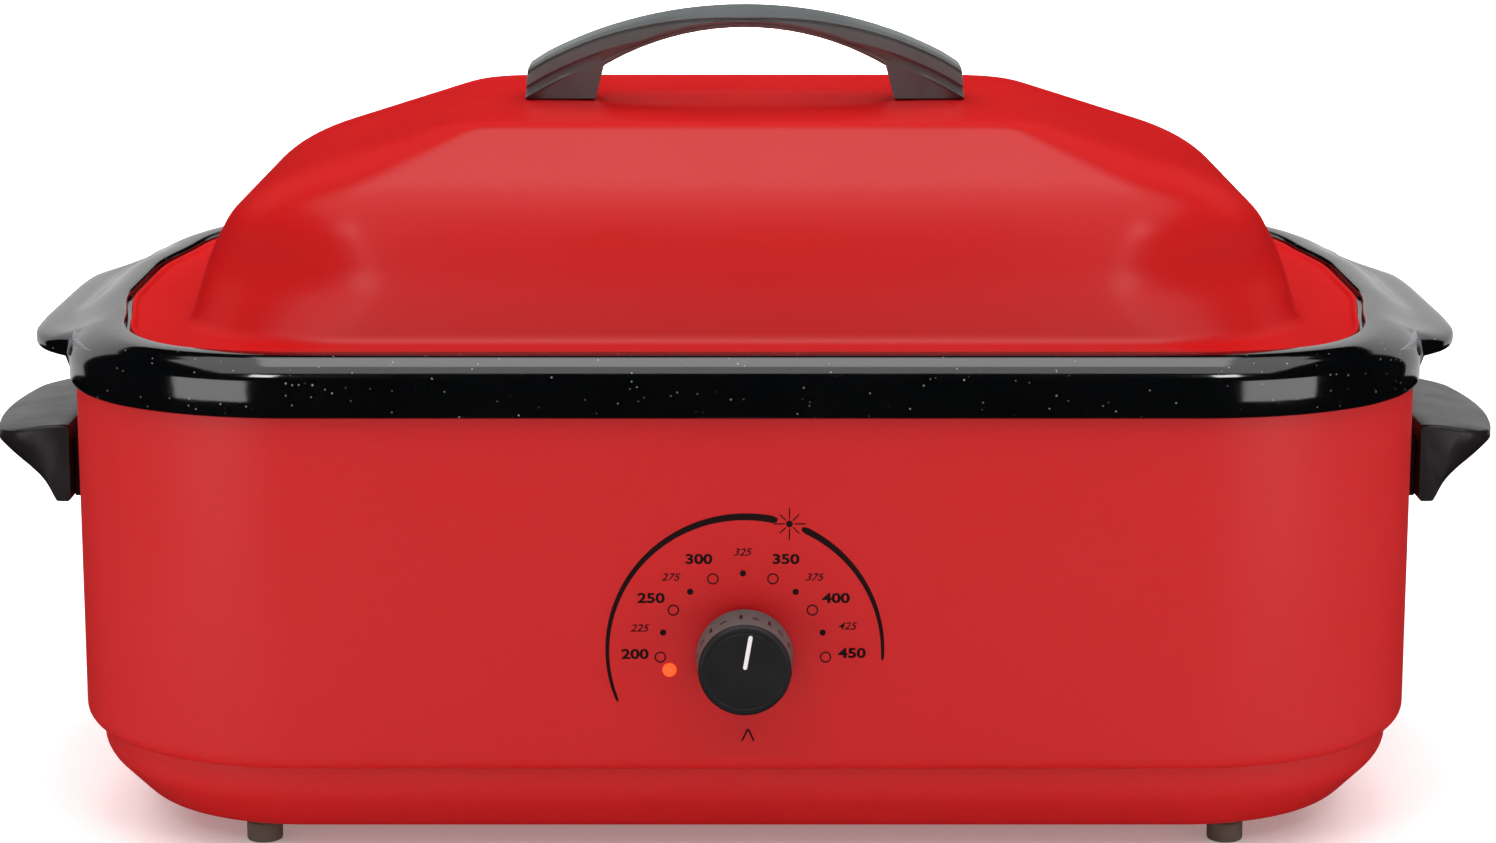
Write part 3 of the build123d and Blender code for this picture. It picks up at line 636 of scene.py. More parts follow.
def moulded(
    name: str,
    seat: Matrix,
    rings: Sequence[Sequence[Vector]],
    angle: float = 50.0,
    wall: float = 0.0,
    caps: tuple[bool, bool] = (True, True),
) -> Piece:
    """Draws a piece from ring to ring.

    Args:
        name: Its name.
        seat: Turns the rings' millimetres into the model's metres.
        rings: The rings in order.
        angle: Edges sharper than this stay crisp, in degrees.
        wall: Thickness of a sheet, added on the inside; nothing for a solid.
        caps: Whether a face closes the first ring, and the last.

    Returns:
        The piece.
    """
    piece = Pressing(name, rings[0], seat)
    if caps[0]:
        piece.close()
    piece.draw(rings[1:])
    if caps[1]:
        piece.close()
    return piece.finish(wall, angle)


def turned(
    name: str,
    seat: Matrix,
    profile: Sequence[tuple[float, float]],
    angle: float,
    count: int = 96,
    capped: bool = True,
) -> Piece:
    """Turns radii and levels round the seat's Z axis, as moulded() does with count points a ring."""
    rings = [circle(radius, level, count) for radius, level in profile]
    return moulded(name, seat, rings, angle, caps=(capped, capped))


def flat_disc(name: str, seat: Matrix, radius: float, film: float) -> Piece:
    """Makes a printed disc of a radius and a thickness."""
    return turned(name, seat, ((radius, 0.0), (radius, film)), 30.0, 32)


def flat_ring(name: str, seat: Matrix, outer: float, inner: float, film: float) -> Piece:
    """Makes a printed ring between two radii."""
    profile = ((outer, 0.0), (outer, film), (inner, film), (inner, 0.0), (outer, 0.0))
    return turned(name, seat, profile, 30.0, 40, capped=False)


def flat_bar(name: str, seat: Matrix, width: float, length: float, film: float) -> Piece:
    """Makes a printed bar, its width along the seat's X and its length along Y."""
    corners = [(side * width / 2, end * length / 2) for side, end in ((-1, -1), (1, -1), (1, 1), (-1, 1))]
    return moulded(name, seat, [[Vector((x, y, z)) for x, y in corners] for z in (0.0, film)], 30.0)


@dataclass
class Assembly:
    """Some of the oven's pieces, which share a seat.

    Attributes:
        seat: Turns the pieces' millimetres into the model's metres.
        paint: The materials, by their names in FINISHES.
    """

    seat: Matrix
    paint: dict[str, Paint]

    def dress(
        self,
        piece: Piece,
        rides: Rides,
        slot: str = "",
        replaces: Sequence[str] = (),
        finish: str = "",
    ) -> None:
        """Paints a new piece and hangs it on its body.

        Args:
            piece: The piece.
            rides: The body it moves with.
            slot: The record's material slot, where it has one.
            replaces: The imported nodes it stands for.
            finish: Name of its material, where that isn't the slot's.
        """
        piece.data.materials.clear()
        piece.data.materials.append(self.paint[finish or slot])
        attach(piece, rides.value)
        if replaces:
            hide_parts(*replaces)
        LOG.info("%s: %d faces, on %s", piece.name, len(piece.data.polygons), rides.value)


# ------------------------------------------------------------------ the oven
@dataclass
class Body(Assembly):
    """The red body wall, its base and its feet.

    Attributes:
        half_x: Half the body's length.
        half_y: Half the body's depth.
    """

    half_x: float
    half_y: float
    corner: float = 92.0
    floor: float = 10.0
    band_low: float = 28.0
    seam: float = 38.0
    top: float = 188.3
    roll: float = 7.0
    roll_steps: int = 12
    tray_rise: float = 9.0
    wall_sheet: float = 0.7
    base_sheet: float = 0.8
    base_inset: float = 6.5
    bevel_inset: float = 24.0
    foot_radius: float = 6.8
    foot_x: float = 183.5
    foot_y: float = 143.0
    cut: Cut = Cut(arc=28, long=6, short=4)

    def plan(self, out: float, level: float) -> Plan:
        """Returns the body's outline, moved outwards, at a level."""
        return Plan(self.half_x + out, self.half_y + out, self.corner + out, level)

    def wall(self) -> Piece:
        """Draws the wall from its rolled lower edge up to the rim."""
        rings = []
        for step in range(self.roll_steps + 1):
            angle = math.pi / 2 * step / self.roll_steps
            out, rise = self.roll * (math.sin(angle) - 1), self.roll * (1 - math.cos(angle))
            rings.append(self.plan(out, self.seam + rise))
        rings.append(self.plan(0, self.top))
        rings = [ring.points(self.cut) for ring in rings]
        return moulded("body_wall", self.seat, rings, wall=self.wall_sheet, caps=(False, False))

    def base(self) -> Piece:
        """Draws the base: upright band, slanted band and floor."""
        inset = self.base_inset
        run = [
            Station(self.plan(-inset, self.seam + self.tray_rise)),
            Station(self.plan(-inset, self.band_low), 0.3, 0.28, steps=10),
            Station(self.plan(-self.bevel_inset, self.floor), 0.2, 0.03, steps=6),
            Station(self.plan(-self.corner + 1, self.floor)),
        ]
        rings = [ring.points(self.cut) for ring in rounded_run(run)]
        return moulded("base_tray", self.seat, rings, wall=self.base_sheet, caps=(False, True))

    def foot(self, name: str, x: float, y: float) -> Piece:
        """Turns one foot: a drum with a moulded shoulder and a hollow sole."""
        seat = self.seat @ Matrix.Translation((x, y, 0))
        radius = self.foot_radius
        profile = (
            (radius - 3.2, 0.9), (radius - 3.0, 0.0), (radius - 0.9, 0.0), (radius - 0.25, 0.3),
            (radius, 1.0), (radius, 6.6), (radius - 0.3, 7.3), (radius - 0.9, 7.6), (radius - 1.1, 10.0),
        )
        return turned(name, seat, profile, 40.0, 48)

    def build(self) -> None:
        """Builds and dresses the wall, the base and the four feet."""
        self.dress(self.wall(), Rides.OVEN, "body_enamel", ("outer_shell", "back_panel"))
        self.dress(self.base(), Rides.OVEN, "body_enamel", ("base_pan",))
        for side, x in (("left", -self.foot_x), ("right", self.foot_x)):
            for end, y in (("front", -self.foot_y), ("back", self.foot_y)):
                node = f"foot_{end}_{side}"
                foot = self.foot(f"rubber_foot_{end}_{side}", x, y)
                self.dress(foot, Rides.OVEN, "foot_rubber", (node,))


@dataclass
class Cookwell(Assembly):
    """The drop-in pan with its speckled rim and two lifting tabs.

    Attributes:
        body: The body, whose outline the rim follows.
    """

    body: Body
    sheet: float = 1.0
    rim_out: float = 5.0
    rim_in: float = -11.5
    crest: float = 194.7
    ledge: float = 190.4
    slant_run: float = 4.1
    slant_fall: float = 4.9
    slant_bow: float = 0.25
    slant_steps: int = 7
    crest_ring: int = 4
    lip_rings: int = 4
    hem: float = 172.4
    pan_inset: float = 26.6
    pan_floor: float = 49.7
    pan_draft: float = 15.0
    skirt_bow: float = 0.33
    tab_half: float = 56.0
    tab_root_half: float = 101.0
    tab_reach: float = 17.1
    tab_drop: float = 10.2
    tab_lip: float = 5.0
    tab_dip: float = 2.4
    tab_swing: float = 0.66
    tab_curve: tuple[float, float] = (2.2, 0.72)
    hem_margin: float = 6.0
    hem_run: float = 8.0
    soft_start: float = 212.0
    soft_run: float = 40.0
    soft_width: float = 11.5
    soft_depth: float = 13.0
    cut: Cut = Cut(arc=36, long=8, short=80)

    def pan_rings(self) -> list[list[Vector]]:
        """Returns the rings of the pan's inside, from its floor to the ledge."""
        body = self.body
        low = -self.pan_inset - self.pan_draft
        run = [
            Station(body.plan(low - 60, self.pan_floor)),
            Station(body.plan(low, self.pan_floor), 0.3, 0.13, steps=8),
            Station(body.plan(-self.pan_inset, self.ledge), 0.02, 0.2, steps=5),
            Station(body.plan(self.rim_in, self.ledge), 0.2, 0.5, steps=4),
        ]
        run.append(Station(body.plan(self.rim_in + 0.4, self.ledge + 2.6)))
        return [plan.points(self.cut) for plan in rounded_run(run)]

    def rim_profile(self) -> list[tuple[float, float]]:
        """Returns the rim's section as offset and level, from the ledge to the hem."""
        out, inner, crest = self.rim_out, self.rim_in, self.crest
        section = [
            (inner + 0.4, self.ledge + 2.6), (inner + 0.6, crest - 0.9), (inner + 1.2, crest - 0.25),
            (inner + 2.1, crest), (inner + 5.0, crest), (out - 7.6, crest - 0.05),
            (out - 6.4, crest - 0.4), (out - 5.4, crest - 1.0), (out - 4.6, crest - 1.8),
        ]
        start_x, start_z = section[-1]
        for step in range(1, self.slant_steps):
            share = step / self.slant_steps
            bow = self.slant_bow * math.sin(math.pi * share)
            x, z = start_x + self.slant_run * share, start_z - self.slant_fall * share
            section.append((x + bow, z + bow))
        section += [
            (out - 0.45, crest - 6.9), (out - 0.15, crest - 7.8), (out, crest - 9.0), (out, self.hem + 7.0),
            (out, self.hem + 1.4), (out - 0.4, self.hem + 0.4), (out - 1.4, self.hem),
        ]
        return section

    def soft_profile(self) -> list[tuple[float, float]]:
        """Returns the rounder section that the rim takes at its ends."""
        section = self.rim_profile()
        first, last = self.crest_ring, len(section) - self.lip_rings
        for place in range(first, last + 1):
            angle = math.pi / 2 * (place - first) / (last - first)
            x = self.rim_out - self.soft_width * (1 - math.sin(angle))
            section[place] = (x, self.crest - self.soft_depth * (1 - math.cos(angle)))
        return section

    def tab_profile(self) -> list[tuple[float, float]]:
        """Returns the tab's section, ring for ring with the rim's own."""
        rim = self.rim_profile()
        start, end = self.crest_ring, len(rim) - self.lip_rings - 1
        root = rim[start]
        tip = (self.rim_out + self.tab_reach, self.crest - self.tab_drop)
        section = list(rim[: start + 1])
        for step in range(1, end - start):
            share = step / (end - start - 1)
            fall = (self.tab_drop - self.tab_dip) * ease(share / self.tab_swing) + self.tab_dip * share**3
            section.append((root[0] + (tip[0] - root[0]) * share, root[1] - fall))
        lip = self.tab_lip
        section += [
            (tip[0] + 0.7, tip[1] - 0.8), (tip[0] + 0.9, tip[1] - 2.0), (tip[0] + 0.8, tip[1] - lip + 0.9),
            (tip[0] + 0.4, tip[1] - lip + 0.3), (tip[0] - 0.6, tip[1] - lip),
        ]
        return section

    def share(self, y: float) -> float:
        """Returns how far the rim has turned into a tab at depth y, round at its ends."""
        flow = covered(abs(y), self.tab_half, self.tab_root_half - self.tab_half)
        power, root = self.tab_curve
        return (1 - flow**power) ** root

    def rim_rings(self) -> list[list[Vector]]:
        """Returns the rings of the rim, its skirt and its tabs."""
        body = self.body
        rings: list[list[Vector]] = []
        crisp, soft, tabs = self.rim_profile(), self.soft_profile(), self.tab_profile()
        lip_start, skirt_start = len(crisp) - self.lip_rings, self.crest_ring - 1
        for place in range(len(crisp)):
            out, level = crisp[place]
            points = body.plan(out, level).points(self.cut)
            bow = 1 - (1 - self.skirt_bow) * ease((place - skirt_start) / (lip_start - skirt_start))
            for point in points:
                side = math.copysign(1.0, point.x)
                round_end = ease((abs(point.x) - self.soft_start) / self.soft_run)
                point.x += side * ((soft[place][0] - out) * round_end - bow * end_bow(point))
                point.z += (soft[place][1] - level) * round_end
                if abs(point.x) > body.half_x - body.corner:
                    share = self.share(point.y)
                    hem = ease((self.tab_root_half + self.hem_margin - abs(point.y)) / self.hem_run)
                    lift = hem if place >= lip_start else share
                    point.x += side * (tabs[place][0] - soft[place][0]) * share
                    point.z += (tabs[place][1] - soft[place][1]) * lift
            rings.append(points)
        return rings

    def build(self) -> None:
        """Builds and dresses the cookwell as one pressing."""
        rings = self.pan_rings()
        for ring in rings[-2:]:
            for point in ring:
                point.x -= math.copysign(end_bow(point), point.x)
        rings += self.rim_rings()[1:]
        pan = moulded("cookwell_pressing", self.seat, rings, 60.0, self.sheet, caps=(True, False))
        self.dress(pan, Rides.COOKWELL, "cookwell_enamel", ("cookwell",))


@dataclass
class Lid(Assembly):
    """The red domed lid with the oval finger recess in its crown."""

    sheet: float = 0.9
    under: float = 190.7
    crown_top: float = 268.5
    bow_start: float = 222.0
    bow_run: float = 17.0
    cut: Cut = Cut(arc=24, long=36, short=24)

    def run(self) -> list[Station]:
        """Returns the outlines from the flange's edge to the recess's floor."""
        under, crown = self.under, self.crown_top
        return [
            Station(Plan(244.8, 170.8, 79.3, under + 0.6)),
            Station(Plan(244.5, 170.5, 79.0, under + 2.3), 0.5, 0.3, steps=3),
            Station(Plan(243.2, 169.2, 77.7, under + 2.5), 0.5, 0.4, steps=3),
            Station(Plan(241.9, 167.9, 76.4, under + 0.9), 0.3, 0.02, steps=3),
            Station(Plan(215.2, 142.5, 64.0, under + 0.9), 0.16, 0.18, steps=8),
            Station(Plan(211.0, 132.0, 80.0, under + 22.0), 0.3, 0.25, steps=8),
            Station(Plan(194.5, 120.5, 46.0, under + 51.2), 0.5, 0.3, steps=14),
            Station(Plan(110.5, 90.5, 14.0, crown), 0.11, 0.12, steps=8),
            Station(Plan(74.0, 44.0, 40.0, crown - 0.2, 0.8), 0.2, 0.3, steps=3),
            Station(Plan(60.0, 31.0, 30.9, crown - 0.6, 1.0), 0.3, 0.3, steps=5),
            Station(Plan(46.0, 19.0, 18.9, crown - 5.3, 1.0), 0.5, 0.3, steps=6),
            Station(Plan(10.0, 5.0, 4.9, crown - 5.6, 1.0)),
        ]

    def build(self) -> None:
        """Builds and dresses the lid."""
        plans = rounded_run(self.run())
        rings = [plan.points(self.cut) for plan in plans]
        for plan, ring in zip(plans, rings):
            drawn = covered(plan.half_x, self.bow_start, self.bow_run)
            for point in ring:
                point.x -= math.copysign(drawn * end_bow(point), point.x)
        dome = moulded("domed_lid", self.seat, rings, wall=self.sheet, caps=(False, True))
        self.dress(dome, Rides.LID, "lid_enamel", ("lid",))


@dataclass
class LidHandle(Assembly):
    """The moulded arch on the lid: crowned top, flat flanks, recessed feet."""

    base: float = 268.5
    half_span: float = 88.5
    half_width: float = 14.0
    crest: float = 37.5
    top_radius: float = 176.0
    hollow: float = 29.0
    under_radius: float = 112.0
    knee: float = 57.0
    knee_lean: float = 3.5
    knee_height: float = 12.5
    crown_end: float = 0.8
    crown_swell: float = 2.3
    crown_run: float = 62.0
    bulge_start: float = 66.0
    bulge_run: float = 20.0
    lean_start: float = 80.0
    end_lean: float = 1.0
    flank: float = 7.6
    ends: tuple[tuple[float, float], ...] = ((0.05, 0.9), (0.45, 0.35), (1.2, 0.0))
    foot_cuts: tuple[float, ...] = (84.0, 80.0, 76.0, 72.0, 68.0, 64.0)
    arch_cuts: tuple[float, ...] = (53.0, 48.0, 42.0, 36.0, 30.0, 24.0, 18.0, 12.0, 6.0)

    def top(self, x: float) -> float:
        """Returns the height of the arch's top at x, above the lid."""
        return self.crest - self.top_radius + math.sqrt(self.top_radius**2 - x * x)

    def crown(self, x: float) -> float:
        """Returns how far the top stands above its own front edge at x."""
        return self.crown_end + self.crown_swell * max(0.0, 1 - abs(x) / self.crown_run) ** 1.2

    def under(self, x: float) -> float:
        """Returns the height of the arch's underside at x."""
        return self.hollow - self.under_radius + math.sqrt(self.under_radius**2 - x * x)

    def section(self, x: float, foot: bool, shrink: float = 0.0) -> list[Vector]:
        """Cuts the handle at x.

        Args:
            x: Place along the handle.
            foot: Whether the cut goes through a foot.
            shrink: How far the section is drawn in, for the rounded ends.

        Returns:
            The section's points, all round.
        """
        edge = self.top(x) - self.crown(x)
        lip = edge - self.flank
        if foot:
            low, bulge = 0.0, covered(abs(x), self.bulge_start, self.bulge_run)
            ledge = max(lip - 4.2, low + 0.8)
            sunk, brim = 2.6 - 0.9 * bulge, 2.4 - 1.9 * bulge
            flank = [(sunk, ledge - 0.9), (brim, ledge), (sunk, ledge + 1.0), (2.2, lip - 0.5)]
        else:
            low = self.under(x)
            lip = max(low + 2.6, lip)
            flank = [(2.6, low + 1.2), (2.4, low + 1.6), (2.6, low + 2.0), (0.9, lip - 0.5)]
        rim = edge - shrink
        groove = [(0.0, rim - 2.8), (0.9, rim - 2.4), (0.9, rim - 1.7), (0.0, rim - 1.3)]
        side = [(3.6, low), (2.8, low + 0.5), *flank, (0.5, lip), (0.0, lip + 0.6), *groove]
        side += [(0.35, rim - 0.55), (1.2, rim - 0.1)]
        width = self.half_width - shrink
        half = [(0.0, low)] + [(width - inward, z) for inward, z in side]
        for step in range(1, 7):
            share = 1 - step / 6
            half.append(((width - 1.2) * share, rim + self.crown(x) * (1 - share * share)))
        lean = self.end_lean * covered(abs(x), self.lean_start, self.half_span - self.lean_start)
        knee = self.knee_lean if foot and abs(x) < self.knee + 4 else 0.0
        points = []
        for y, z in half + [(-y, z) for y, z in half[-2:0:-1]]:
            bend = max(0.0, min(z / self.knee_height, 1 - (z - self.knee_height) / 4))
            slide = lean * max(0.0, z) / 12 + knee * bend
            points.append(Vector((x - math.copysign(slide, x), y, self.base + z)))
        return points

    def build(self) -> None:
        """Builds and dresses the handle."""
        places = [(self.half_span - inward, True, shrink) for inward, shrink in self.ends]
        places += [(x, True, 0.0) for x in (*self.foot_cuts, self.knee + 3.5)]
        places += [(x, False, 0.0) for x in (self.knee, *self.arch_cuts)]
        mirrored = [(-x, foot, shrink) for x, foot, shrink in reversed(places)]
        places += [(0.0, False, 0.0)] + mirrored
        rings = [self.section(*place) for place in places]
        arch = moulded("arched_lid_handle", self.seat, rings, 32.0)
        # Its grey finish is painted sheen on the black handle, not the handle's own colour.
        self.dress(arch, Rides.LID, "handle_plastic", ("lid_handle",), finish="sheen_grey_handle_plastic")


@dataclass
class SideHandles(Assembly):
    """The two moulded wings and the blocks that hold them off the body.

    Attributes:
        half_x: Half the body's length.
    """

    half_x: float
    standoff: float = 12.0
    top: float = 143.5
    drop: float = 31.0
    half_length: float = 56.0
    reach: float = 35.0
    end_reach: float = 27.0
    corner: float = 11.0
    brim: float = 5.0
    slope: float = 3.5
    swell: float = 0.4
    lip: float = 6.0
    ends: tuple[tuple[float, float], ...] = ((0.0, 1.0), (0.3, 0.45), (1.0, 0.0))
    cuts: tuple[float, ...] = (54.0, 52.5, 50.5, 48.0, 45.0, 36.0, 27.0, 18.0, 9.0)
    spacer_half: float = 46.0
    spacer_height: float = 24.0
    flute_edge: float = 2.2
    flute_depth: float = 0.985
    block_bevel: float = 0.8

    def width(self, y: float) -> float:
        """Returns how far the wing stands out at y, rounded at its ends."""
        bow = (self.reach - self.end_reach) * (1 - (y / self.half_length) ** 2)
        full = self.end_reach + bow
        short = self.corner - (self.half_length - abs(y))
        if short <= 0:
            return full
        return full - self.corner + math.sqrt(max(0.0, self.corner**2 - short**2))

    def section(self, side: float, y: float, shrink: float) -> list[Vector]:
        """Cuts a wing at y.

        Args:
            side: One on the right, minus one on the left.
            y: Place along the handle.
            shrink: How far the section is drawn in, for the rounded ends.

        Returns:
            The section's points, all round.
        """
        reach = self.width(y) - shrink
        fall = self.slope * reach / self.reach
        top = -shrink
        outline = [(0.0, top - 0.9), (0.3, top - 0.3), (1.0, top)]
        for step in range(1, 6):
            share = step / 6
            swell = self.swell * math.sin(math.pi * share)
            outline.append((1.0 + (reach - 2.6) * share, top - fall * share**1.6 + swell))
        outline += [
            (reach - 1.6, top - fall),
            (reach - 0.5, top - fall - 0.35),
            (reach, top - fall - 1.4),
            (reach, top - fall - self.brim + 1.2),
            (reach - 0.6, top - fall - self.brim),
        ]
        start, end = Vector((reach - 0.6, top - fall - self.brim)), Vector((self.lip, -self.drop + 0.9))
        first, second = Vector((reach - 8.5, -self.brim - 12.0)), Vector((self.lip + 5.0, -self.drop + 9.5))
        for step in range(1, 13):
            share = step / 12
            away = 1 - share
            spot = start * away**3 + first * (3 * away**2 * share)
            spot += second * (3 * away * share**2) + end * share**3
            outline.append((max(spot.x, 1.5), spot.y))
        outline += [(self.lip - 0.5, -self.drop + 0.2), (self.lip - 1.6, -self.drop), (1.0, -self.drop)]
        outline += [(0.0, -self.drop + 0.8)]
        foot = self.half_x + self.standoff
        return [Vector((side * (foot + x), y, self.top + z)) for x, z in outline]

    def wing(self, name: str, side: float) -> Piece:
        """Draws one wing from its front end to its back end."""
        front = [(inward - self.half_length, shrink) for inward, shrink in self.ends]
        front += [(-y, 0.0) for y in self.cuts]
        places = front + [(0.0, 0.0)] + [(-y, shrink) for y, shrink in reversed(front)]
        rings = [self.section(side, y, shrink) for y, shrink in places]
        return moulded(name, self.seat, rings, 32.0)

    def spacer(self, name: str, side: float) -> Piece:
        """Makes one block with bevelled edges and two shallow flutes."""
        middle = self.top - self.drop + self.spacer_height / 2
        place = Vector((side * (self.half_x + self.standoff / 2), 0, middle))
        bpy.ops.object.select_all(action="DESELECT")
        bpy.ops.mesh.primitive_cube_add(size=1, location=self.seat @ place)
        block = bpy.context.object
        block.name = name
        block.scale = Vector((self.standoff, 2 * self.spacer_half, self.spacer_height)) * MM
        bpy.ops.object.transform_apply(location=True, rotation=True, scale=True)
        bpy.ops.object.mode_set(mode="EDIT")
        bpy.ops.mesh.select_all(action="DESELECT")
        bpy.ops.mesh.select_mode(type="FACE")
        mesh = bmesh.from_edit_mesh(block.data)
        for face in mesh.faces:
            face.select = abs(face.normal.y) > 0.9 or face.normal.z < -0.9
        bmesh.update_edit_mesh(block.data)
        bpy.ops.mesh.inset(thickness=self.flute_edge * MM, use_individual=True)
        bpy.ops.transform.resize(value=(1.0, self.flute_depth, 1.0))
        bpy.ops.object.mode_set(mode="OBJECT")
        apply_modifier(block, "BEVEL", width=self.block_bevel * MM, segments=3, limit_method="ANGLE")
        smooth(block, 40.0)
        return block

    def build(self) -> None:
        """Builds and dresses both wings and both blocks."""
        for name, side in (("left", -1.0), ("right", 1.0)):
            wing = self.wing(f"wing_handle_{name}", side)
            self.dress(wing, Rides.OVEN, "handle_plastic", (f"side_handle_{name}",))
            block = self.spacer(f"spacer_block_{name}", side)
            self.dress(block, Rides.OVEN, "handle_plastic", (f"handle_spacer_{name}",))


@dataclass
class Controls(Assembly):
    """The knob with its marked sleeve and pointer, and the indicator lamp.

    Its seat stands on the knob's axis, +Z towards the person.
    """

    back: float = 1.5
    face: float = 22.5
    radius: float = 17.9
    face_radius: float = 16.9
    sleeve_front: float = 20.4
    bore: float = 15.5
    mark_lift: float = 0.02
    mark_film: float = 0.06
    mark_count: int = 10
    mark_turn: float = 35.5
    stroke_level: float = 10.5
    stroke_size: tuple[float, float] = (1.1, 6.0)
    ring_level: float = 12.0
    ring_radii: tuple[float, float] = (1.3, 0.75)
    first_mark: float = -4.5
    pointer_turn: float = 10.0
    pointer_length: float = 12.8
    pointer_width: float = 1.5
    pointer_depth: float = 0.6
    pointer_rise: float = 0.6
    lamp_x: float = -27.7
    lamp_drop: float = 5.5
    lamp_radius: float = 2.6

    def side(self, level: float) -> float:
        """Returns the drafted side's radius at a distance from the wall."""
        share = (level - self.back) / (self.face - self.back)
        return self.radius + (self.face_radius - self.radius) * share

    def knob(self) -> Piece:
        """Turns the black cap: a core inside the sleeve and a flat face with a chamfer."""
        front, face, rim = self.sleeve_front, self.face, self.face_radius
        edge = self.side(front)
        profile = [
            (14.0, front - 14.0), (15.4, front - 14.0), (15.4, front), (edge - 0.25, front),
            (edge, front + 0.2), (rim - 0.05, face - 1.3), (rim - 0.4, face - 0.6),
            (rim - 1.0, face - 0.15), (rim - 1.7, face - 0.06), (rim - 2.4, face - 0.06),
            (rim - 2.6, face - 0.2), (rim - 2.9, face - 0.2), (rim - 3.1, face - 0.06), (1.0, face - 0.06),
        ]
        return turned("knob_cap", self.seat, profile, 35.0)

    def sleeve(self) -> Piece:
        """Turns the grey sleeve that carries the marks."""
        front = self.sleeve_front
        profile = [
            (self.bore, front - 0.3), (self.bore, self.back), (self.radius - 0.4, self.back),
            (self.radius, self.back + 0.4), (self.side(front - 0.5), front - 0.5),
            (self.side(front) - 0.4, front - 0.1), (self.bore, front - 0.1), (self.bore, front - 0.3),
        ]
        return turned("marked_sleeve", self.seat, profile, 35.0, capped=False)

    def around(self, turn: float, level: float, lift: float) -> Matrix:
        """Returns the seat of a mark on the sleeve.

        Args:
            turn: Place round the sleeve, in degrees clockwise from the top.
            level: Distance from the wall.
            lift: Height above the sleeve's surface.

        Returns:
            A matrix whose local XY plane lies on the sleeve, +Y towards the face.
        """
        spin = Matrix.Rotation(math.radians(-turn), 4, "Z")
        out = Matrix.Translation((0, self.side(level) + lift, level))
        return self.seat @ spin @ out @ Matrix.Rotation(-math.pi / 2, 4, "X")

    def marks(self) -> list[Piece]:
        """Makes the short strokes and the small rings printed round the sleeve."""
        made = []
        for number in range(self.mark_count):
            turn = self.first_mark + self.mark_turn * number
            stroke = self.around(turn, self.stroke_level, self.mark_lift)
            made.append(flat_bar("sleeve_stroke", stroke, *self.stroke_size, self.mark_film))
            ring = self.around(turn + self.mark_turn / 2, self.ring_level, self.mark_lift)
            made.append(flat_ring("sleeve_ring", ring, *self.ring_radii, self.mark_film))
        return made

    def pointer(self) -> Piece:
        """Draws the white line on the face, round at both ends."""
        half = self.pointer_width / 2
        spin = Matrix.Rotation(math.radians(-self.pointer_turn), 4, "Z")
        outline = []
        for start, end in ((0.0, self.pointer_length - half), (math.pi, half)):
            for step in range(13):
                angle = start + math.pi * step / 12
                outline.append(Vector((half * math.cos(angle), end + half * math.sin(angle), 0)))
        low = [spot - Vector((0, 0, self.pointer_depth)) for spot in outline]
        seat = self.seat @ Matrix.Translation((0, self.pointer_rise, self.face)) @ spin
        return moulded("pointer_line", seat, [low, outline], 35.0)

    def lamp(self) -> Piece:
        """Turns the lamp's lens: a low faceted dome."""
        seat = self.seat @ Matrix.Translation((self.lamp_x, -self.lamp_drop, 0))
        radius = self.lamp_radius
        profile = [(radius, -2.0), (radius, 0.2), (radius - 0.2, 0.5), (radius - 0.8, 0.65)]
        return turned("lamp_lens_dome", seat, profile + [(0.9, 0.78), (0.3, 0.8)], 25.0, 24)

    def build(self) -> None:
        """Builds and dresses the knob's pieces and the lamp."""
        self.dress(self.knob(), Rides.KNOB, "knob_plastic", ("knob",))
        self.dress(self.sleeve(), Rides.KNOB, "skirt_plastic", ("knob_skirt",))
        self.dress(join("sleeve_marks", self.marks()), Rides.KNOB, finish="print_ink")
        self.dress(self.pointer(), Rides.KNOB, "pointer_white", ("knob_pointer",))
        self.dress(self.lamp(), Rides.OVEN, "lamp_amber", ("lamp_lens",))


@dataclass(frozen=True)
class Lettering:
    """How the dial's numbers are written.

    Attributes:
        height: Height of the digits, in millimetres.
        stretch: Width against the typeface's own.
        bold: How far the strokes are thickened, as a share of the height.
        lean: Slant of the strokes.
    """

    height: float
    stretch: float
    bold: float
    lean: float = 0.0


DIGIT_HEIGHT = 0.69  # of a digit in the default typeface, as a share of its size
MAIN_NUMBERS = Lettering(3.5, 1.32, 0.045)
SMALL_NUMBERS = Lettering(2.7, 1.12, 0.012, 0.3)


